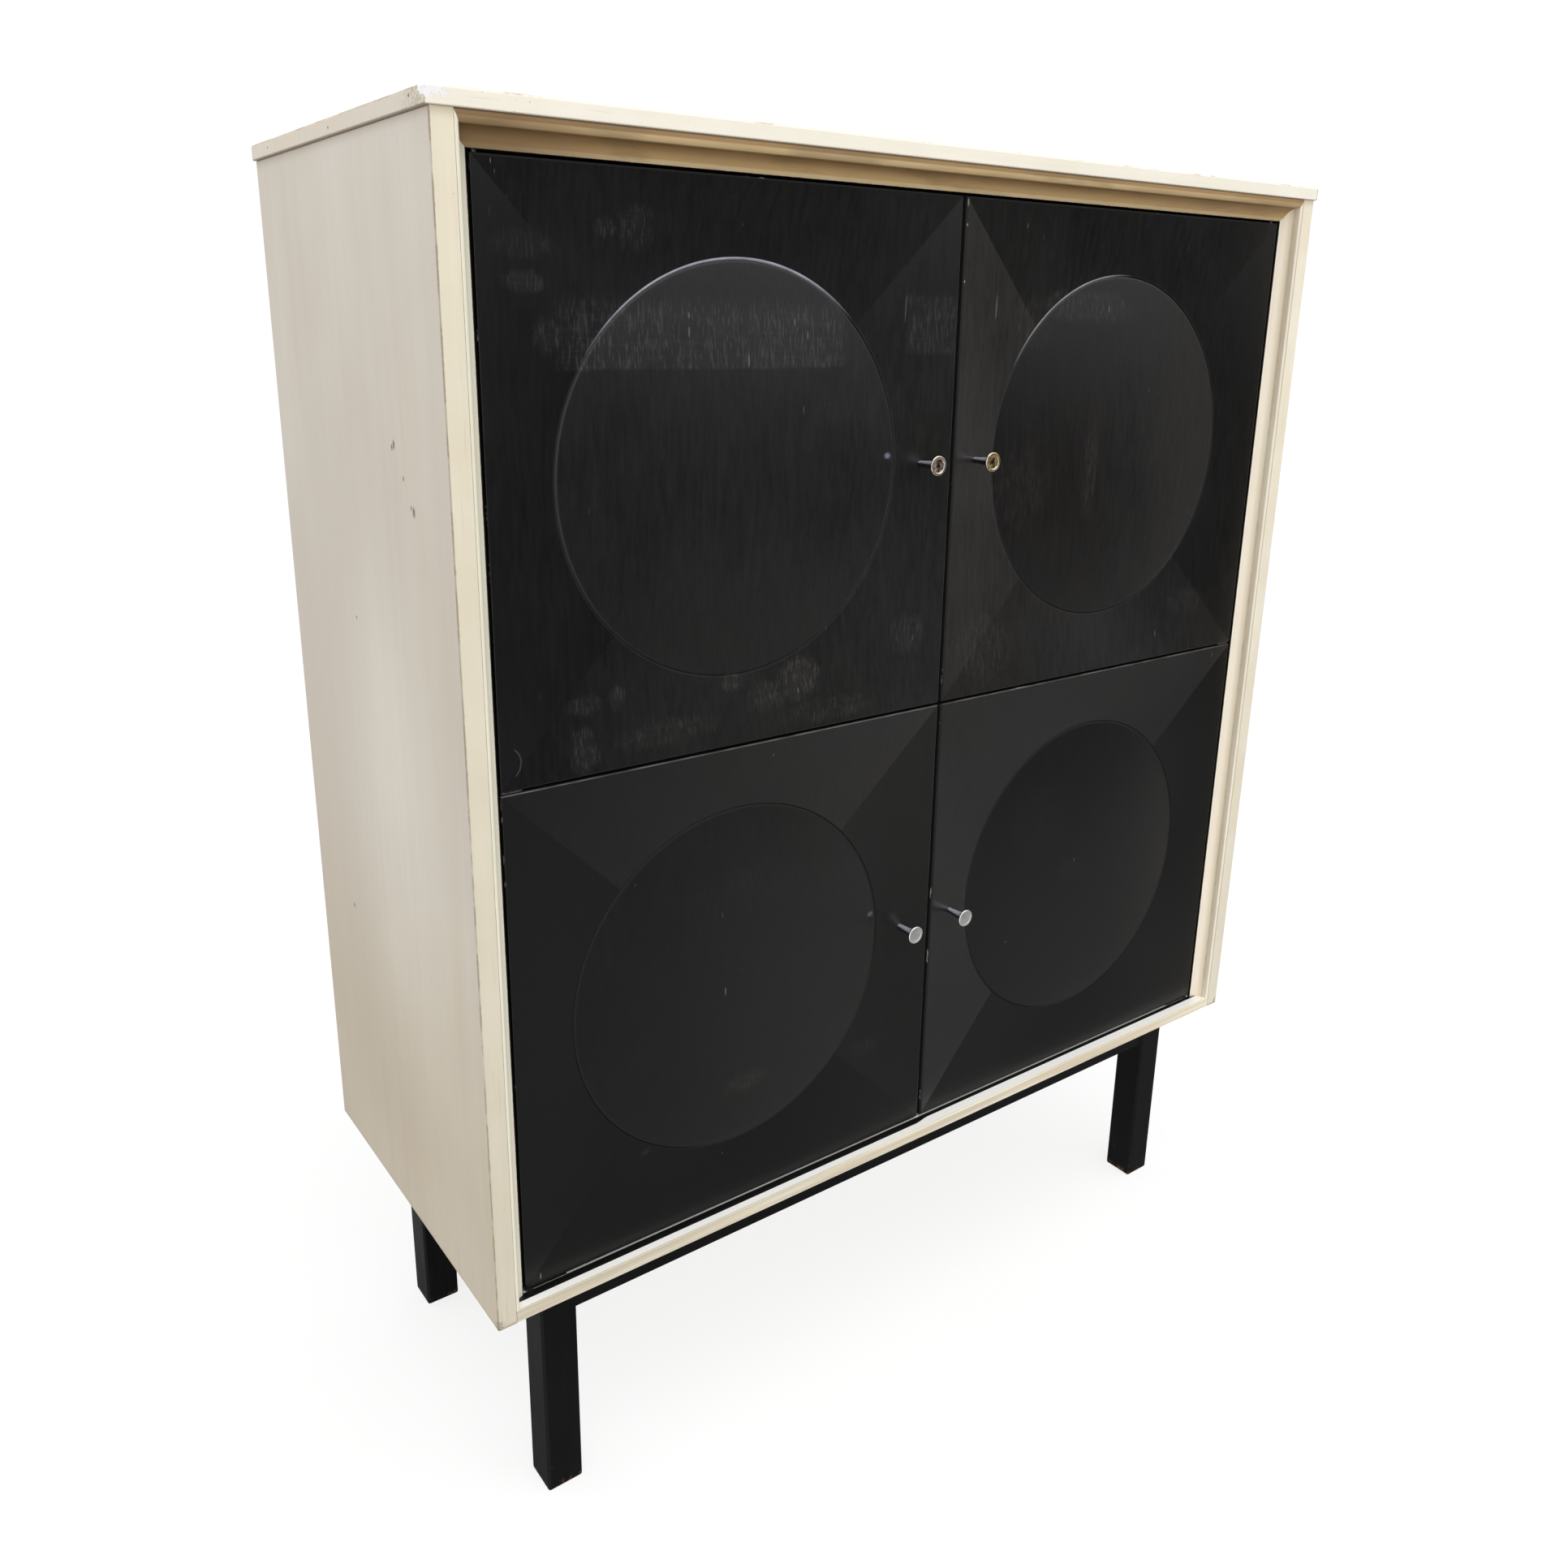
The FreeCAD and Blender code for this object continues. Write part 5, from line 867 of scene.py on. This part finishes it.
def make_door(name):
    left, upper = name.endswith("left"), name.startswith("upper")
    lo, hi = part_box("door_" + name)
    w, h = hi.x - lo.x, hi.z - lo.z
    cx, cz = (lo.x + hi.x) / 2, (lo.z + hi.z) / 2
    roll, fall = {"upper_left": (0.0028, 0.0012), "upper_right": (0.0024, 0.0007)}.get(name, (0.0018, 0.0002))
    rings, apex, n = door_rings(w, h, roll, fall)
    bm = bmesh.new()
    back = bm.verts.new((cx, lo.y + DOOR_T, cz))
    loops = [[bm.verts.new((cx + x, lo.y + y, cz + z)) for x, y, z in pts] for pts, _ in rings]
    tip = bm.verts.new((cx, lo.y + apex, cz))
    for a, b in zip(loops, loops[1:]):
        for k in range(n):
            j = (k + 1) % n
            bm.faces.new((a[k], a[j], b[j], b[k]))
    for k in range(n):
        j = (k + 1) % n
        bm.faces.new((back, loops[0][j], loops[0][k]))
        bm.faces.new((tip, loops[-1][k], loops[-1][j]))
    bm.normal_update()
    bmesh.ops.recalc_face_normals(bm, faces=bm.faces)
    sharp = set()
    for (pts, crease), ring in zip(rings, loops):
        if crease:
            for k in range(n):
                sharp.add((ring[k], ring[(k + 1) % n]))
    first = [i for i, (_, c) in enumerate(rings) if c][0]
    last = [i for i, (_, c) in enumerate(rings) if c][1]
    for k in range(0, n, n // 4):
        for i in range(first, last):
            sharp.add((loops[i][k], loops[i + 1][k]))
    for a, b in sharp:
        e = bm.edges.get((a, b))
        if e:
            e.smooth = False
    for f in bm.faces:
        f.smooth = True
    me = bpy.data.meshes.new("panel_" + name)
    bm.to_mesh(me)
    bm.free()
    ob = bpy.data.objects.new("panel_" + name, me)
    bpy.context.scene.collection.objects.link(ob)
    # seats for the pivot plates and bores for the pins, the knob's stem and its screw
    cutters = []

    def block(x0, x1, y0, y1, z0, z1):
        b = bmesh.new()
        bmesh.ops.create_cube(b, size=1.0)
        for v in b.verts:
            v.co = Vector(((x0 + x1) / 2 + v.co.x * (x1 - x0), (y0 + y1) / 2 + v.co.y * (y1 - y0),
                           (z0 + z1) / 2 + v.co.z * (z1 - z0)))
        cutters.append(b)

    def drill(at, axis, r, length, seg=32):
        b = bmesh.new()
        bmesh.ops.create_cone(b, cap_ends=True, segments=seg, radius1=r, radius2=r, depth=length)
        turn = Matrix.Identity(4) if axis == "z" else Matrix.Rotation(math.radians(90), 4, "X")
        bmesh.ops.transform(b, matrix=Matrix.Translation(at) @ turn, verts=b.verts)
        cutters.append(b)

    plo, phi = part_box("pivot_plates_" + name)
    px = 0.506 * (-1 if left else 1)
    py = DOOR_Y + 0.006
    for z0, z1 in ((hi.z - 0.0020, hi.z + 0.004), (lo.z - 0.004, lo.z + 0.0020)):
        block(plo.x, phi.x, plo.y, phi.y, z0, z1)
    drill(Vector((px, py, hi.z - 0.008)), "z", 0.0032, 0.0160)
    drill(Vector((px, py, lo.z + 0.008)), "z", 0.0032, 0.0160)
    kx = 0.038 * (-1 if left else 1)
    kz = cz + 0.0005
    drill(Vector((kx, lo.y + DOOR_T, kz)), "y", 0.005, 0.006, 40)
    drill(Vector((kx, lo.y + 0.015, kz)), "y", 0.0022, 0.020, 24)
    drill(Vector((kx, lo.y + 0.004, kz)), "y", 0.00305, 0.0100, 32)
    for i, b in enumerate(cutters):
        m = bpy.data.meshes.new("cut")
        b.to_mesh(m)
        b.free()
        c = bpy.data.objects.new("cut", m)
        bpy.context.scene.collection.objects.link(c)
        mod = ob.modifiers.new("cut%d" % i, "BOOLEAN")
        mod.operation = "DIFFERENCE"
        mod.solver = "EXACT"
        mod.object = c
        cutters[i] = c
    dg = bpy.context.evaluated_depsgraph_get()
    done = bpy.data.meshes.new_from_object(ob.evaluated_get(dg))
    ob.modifiers.clear()
    ob.data = done
    done.name = "panel_" + name
    for c in cutters:
        m = c.data
        bpy.data.objects.remove(c)
        bpy.data.meshes.remove(m)
    bpy.data.meshes.remove(me)
    done.materials.clear()
    done.materials.append(door_paint(name))
    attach(ob, name + "_door")
    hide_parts("door_" + name)
    return ob


for d in DOORS:
    make_door(d)


# --------------------------------------------------------------------- the knobs
def make_knob(name):
    """Turned knob on a slim stem, its flared head with a shallow dish inside a ring."""
    left, upper = name.endswith("left"), name.startswith("upper")
    lo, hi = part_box("knob_" + name)
    xc, zc = 0.038 * (-1 if left else 1), (lo.z + hi.z) / 2
    y0 = FRONT - 0.0020
    mm = 0.001
    prof = [(0.0, 1.05), (1.6, 1.0), (3.4, 0.85), (5.2, 0.62), (6.5, 0.52), (6.95, 0.50), (7.15, 0.36), (7.35, 0.12),
            (7.6, 0.02), (8.4, 0.0), (9.0, 0.03), (9.45, 0.16), (9.78, 0.42), (9.95, 0.75), (9.98, 1.1),
            (9.95, 1.45), (9.80, 1.75), (9.45, 2.05), (8.9, 2.4), (8.0, 3.0), (7.05, 3.75), (6.2, 4.6),
            (5.45, 5.6), (4.9, 6.7), (4.5, 7.9), (4.25, 9.2), (4.08, 11.0), (3.9, 13.0), (3.7, 16.0),
            (3.5, 19.0), (3.3, 22.0), (3.12, 24.6), (3.04, 26.0), (3.02, 27.8), (2.98, 30.0), (2.6, 30.6), (0.0, 30.6)]
    seg = 96
    bm = bmesh.new()
    rows = []
    for r, y in prof:
        if r == 0.0:
            rows.append([bm.verts.new((xc, y0 + y * mm, zc))])
        else:
            rows.append([bm.verts.new((xc + r * mm * math.cos(2 * math.pi * k / seg), y0 + y * mm,
                                       zc + r * mm * math.sin(2 * math.pi * k / seg))) for k in range(seg)])
    for a, b in zip(rows, rows[1:]):
        for k in range(seg):
            j = (k + 1) % seg
            if len(a) == 1:
                bm.faces.new((a[0], b[k], b[j]))
            elif len(b) == 1:
                bm.faces.new((a[k], b[0], a[j]))
            else:
                bm.faces.new((a[k], b[k], b[j], a[j]))
    bmesh.ops.recalc_face_normals(bm, faces=bm.faces)
    for f in bm.faces:
        f.smooth = True
    me = bpy.data.meshes.new("turned_knob_" + name)
    bm.to_mesh(me)
    bm.free()
    ob = bpy.data.objects.new("turned_knob_" + name, me)
    bpy.context.scene.collection.objects.link(ob)
    tint = srgb(205, 186, 176) if left else srgb(208, 180, 122)
    me.materials.append(knob_paint(name, upper, xc, zc, tint))
    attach(ob, name + "_door")
    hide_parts("knob_" + name)
    return ob


for d in DOORS:
    make_knob(d)

# ------------------------------------------------------------------ soft edges
# A hairline rounding on the boards' square edges, as sanding and paint leave them.
for n in ("left_side_panel", "right_side_panel", "bottom_panel", "middle_shelf", "upper_divider",
          "lower_divider", "back_panel", "front_rail", "rear_rail", "left_rail", "right_rail",
          "bottom_front_strip", "corner_blocks", "catch_housings"):
    b = node[n].modifiers.new("arris", "BEVEL")
    b.width = 0.0004
    b.segments = 2
    b.limit_method = "ANGLE"
    b.angle_limit = math.radians(40)
    b.harden_normals = False

# ------------------------------------------------------------------ camera
cam_data = bpy.data.cameras.new("camera")
cam_data.sensor_fit = "HORIZONTAL"
cam_data.sensor_width = 36.0
cam_data.lens = 29.7363
cam_data.shift_x = 0.015733
cam_data.shift_y = -0.046843
cam_data.clip_start = 0.05
cam_data.clip_end = 100.0
cam = bpy.data.objects.new("camera", cam_data)
bpy.context.scene.collection.objects.link(cam)
right = Vector((0.81357789, -0.5813713, 0.00992115))
up = Vector((0.15778394, 0.23716281, 0.95857083))
back_dir = Vector((-0.55963849, -0.77830663, 0.28468147))
rot = Matrix((right, up, back_dir)).transposed().to_4x4()
cam.matrix_world = Matrix.Translation(Vector((-0.942368, -1.175894, 1.184789))) @ rot
bpy.context.scene.camera = cam

# ------------------------------------------------------------------ stage and light
fm = Paint("floor")
grain = fm.noise((2.0, 2.0, 2.0), (1, 1, 1), detail=3)
floor_col = fm.mix(fm.lin(grain, 0.3, 0.7), (0.84, 0.84, 0.835, 1), (0.86, 0.86, 0.855, 1))
fm.finish(floor_col, 0.85, specular=0.1)
see = fm.nt.nodes.new("ShaderNodeBsdfTransparent")
join = fm.nt.nodes.new("ShaderNodeMixShader")
fm.nt.links.new(fm.step(fm.dist((0, 0, 0)), 1.6, 6.0, 0.76, 1.0), join.inputs[0])
fm.nt.links.new(fm.bsdf.outputs[0], join.inputs[1])
fm.nt.links.new(see.outputs[0], join.inputs[2])
fm.nt.links.new(join.outputs[0], fm.out.inputs["Surface"])
bm = bmesh.new()
bmesh.ops.create_grid(bm, x_segments=16, y_segments=16, size=7.0)
floor_mesh = bpy.data.meshes.new("floor")
bm.to_mesh(floor_mesh)
bm.free()
floor = bpy.data.objects.new("floor", floor_mesh)
bpy.context.scene.collection.objects.link(floor)
floor_mesh.materials.append(fm.mat)

world = bpy.data.worlds.new("studio")
bpy.context.scene.world = world
world.use_nodes = True
wt = world.node_tree
wt.nodes.clear()
w_out = wt.nodes.new("ShaderNodeOutputWorld")
w_bg = wt.nodes.new("ShaderNodeBackground")
w_seen = wt.nodes.new("ShaderNodeBackground")
w_mix = wt.nodes.new("ShaderNodeMixShader")
w_path = wt.nodes.new("ShaderNodeLightPath")
w_co = wt.nodes.new("ShaderNodeTexCoord")


def w_soft(total, el, az, width, strength):
    """Adds one broad soft light of the studio, seen at an elevation and an azimuth from the
    doors' normal (minus to the left); the larger the width number, the narrower the light."""
    e, a = math.radians(el), math.radians(az)
    dot = wt.nodes.new("ShaderNodeVectorMath")
    dot.operation = "DOT_PRODUCT"
    wt.links.new(w_co.outputs["Generated"], dot.inputs[0])
    dot.inputs[1].default_value = (math.sin(a) * math.cos(e), -math.cos(a) * math.cos(e), math.sin(e))
    out = dot.outputs["Value"]
    for op, value in (("MAXIMUM", 0.0), ("POWER", width), ("MULTIPLY", strength)):
        n = wt.nodes.new("ShaderNodeMath")
        n.operation = op
        wt.links.new(out, n.inputs[0])
        n.inputs[1].default_value = value
        out = n.outputs[0]
    n = wt.nodes.new("ShaderNodeMath")
    n.operation = "ADD"
    wt.links.new(out, n.inputs[0])
    if total is None:
        n.inputs[1].default_value = 0.0
    else:
        wt.links.new(total, n.inputs[1])
    return n.outputs[0]


SOFT_LIGHTS = (
    # broad: low, level, raised and high ones round the left and the front
    (-70, 0, 14, 0.34), (-40, -80, 14, 0.27), (-40, -35, 14, 0.93), (-10, -150, 14, 0.97),
    (-10, -115, 14, 0.43), (-10, -85, 14, 0.26), (-10, -55, 14, 0.73), (-10, -25, 14, 1.09),
    (20, -150, 14, 1.92), (20, -115, 14, 0.72), (20, -85, 14, 0.33), (20, -55, 14, 0.69),
    (20, -25, 14, 1.20), (48, -130, 14, 0.99), (48, -45, 14, 0.72), (48, -5, 14, 1.18),
    (48, 35, 14, 1.19), (48, 80, 14, 1.11), (78, -60, 14, 0.81), (30, 140, 14, 0.78),
    # one overhead, for the upward faces
    (80, 0, 14, 3.0),
    # narrower ones to the right, which the dark doors mirror
    (-38, 50, 50, 0.10), (-26, 40, 50, 0.27), (-13, 82, 50, 1.04), (0, 35, 50, 0.06),
    (0, 82, 50, 0.45), (13, 30, 50, 0.60), (13, 48, 50, 0.63), (13, 66, 50, 0.17),
    (13, 86, 50, 0.72), (27, 20, 50, 0.79), (27, 42, 50, 0.85), (27, 66, 50, 0.83))
light = None
for el, az, width, strength in SOFT_LIGHTS:
    light = w_soft(light, el, az, width, strength)
wt.links.new(light, w_bg.inputs["Strength"])
w_bg.inputs["Color"].default_value = (1.0, 1.0, 1.0, 1)
w_seen.inputs["Color"].default_value = (1.05, 1.05, 1.05, 1)
wt.links.new(w_path.outputs["Is Camera Ray"], w_mix.inputs[0])
wt.links.new(w_bg.outputs[0], w_mix.inputs[1])
wt.links.new(w_seen.outputs[0], w_mix.inputs[2])
wt.links.new(w_mix.outputs[0], w_out.inputs[0])

scene = bpy.context.scene
scene.view_settings.view_transform = "Standard"
scene.view_settings.look = "None"
scene.view_settings.exposure = 0.0
scene.view_settings.gamma = 1.0
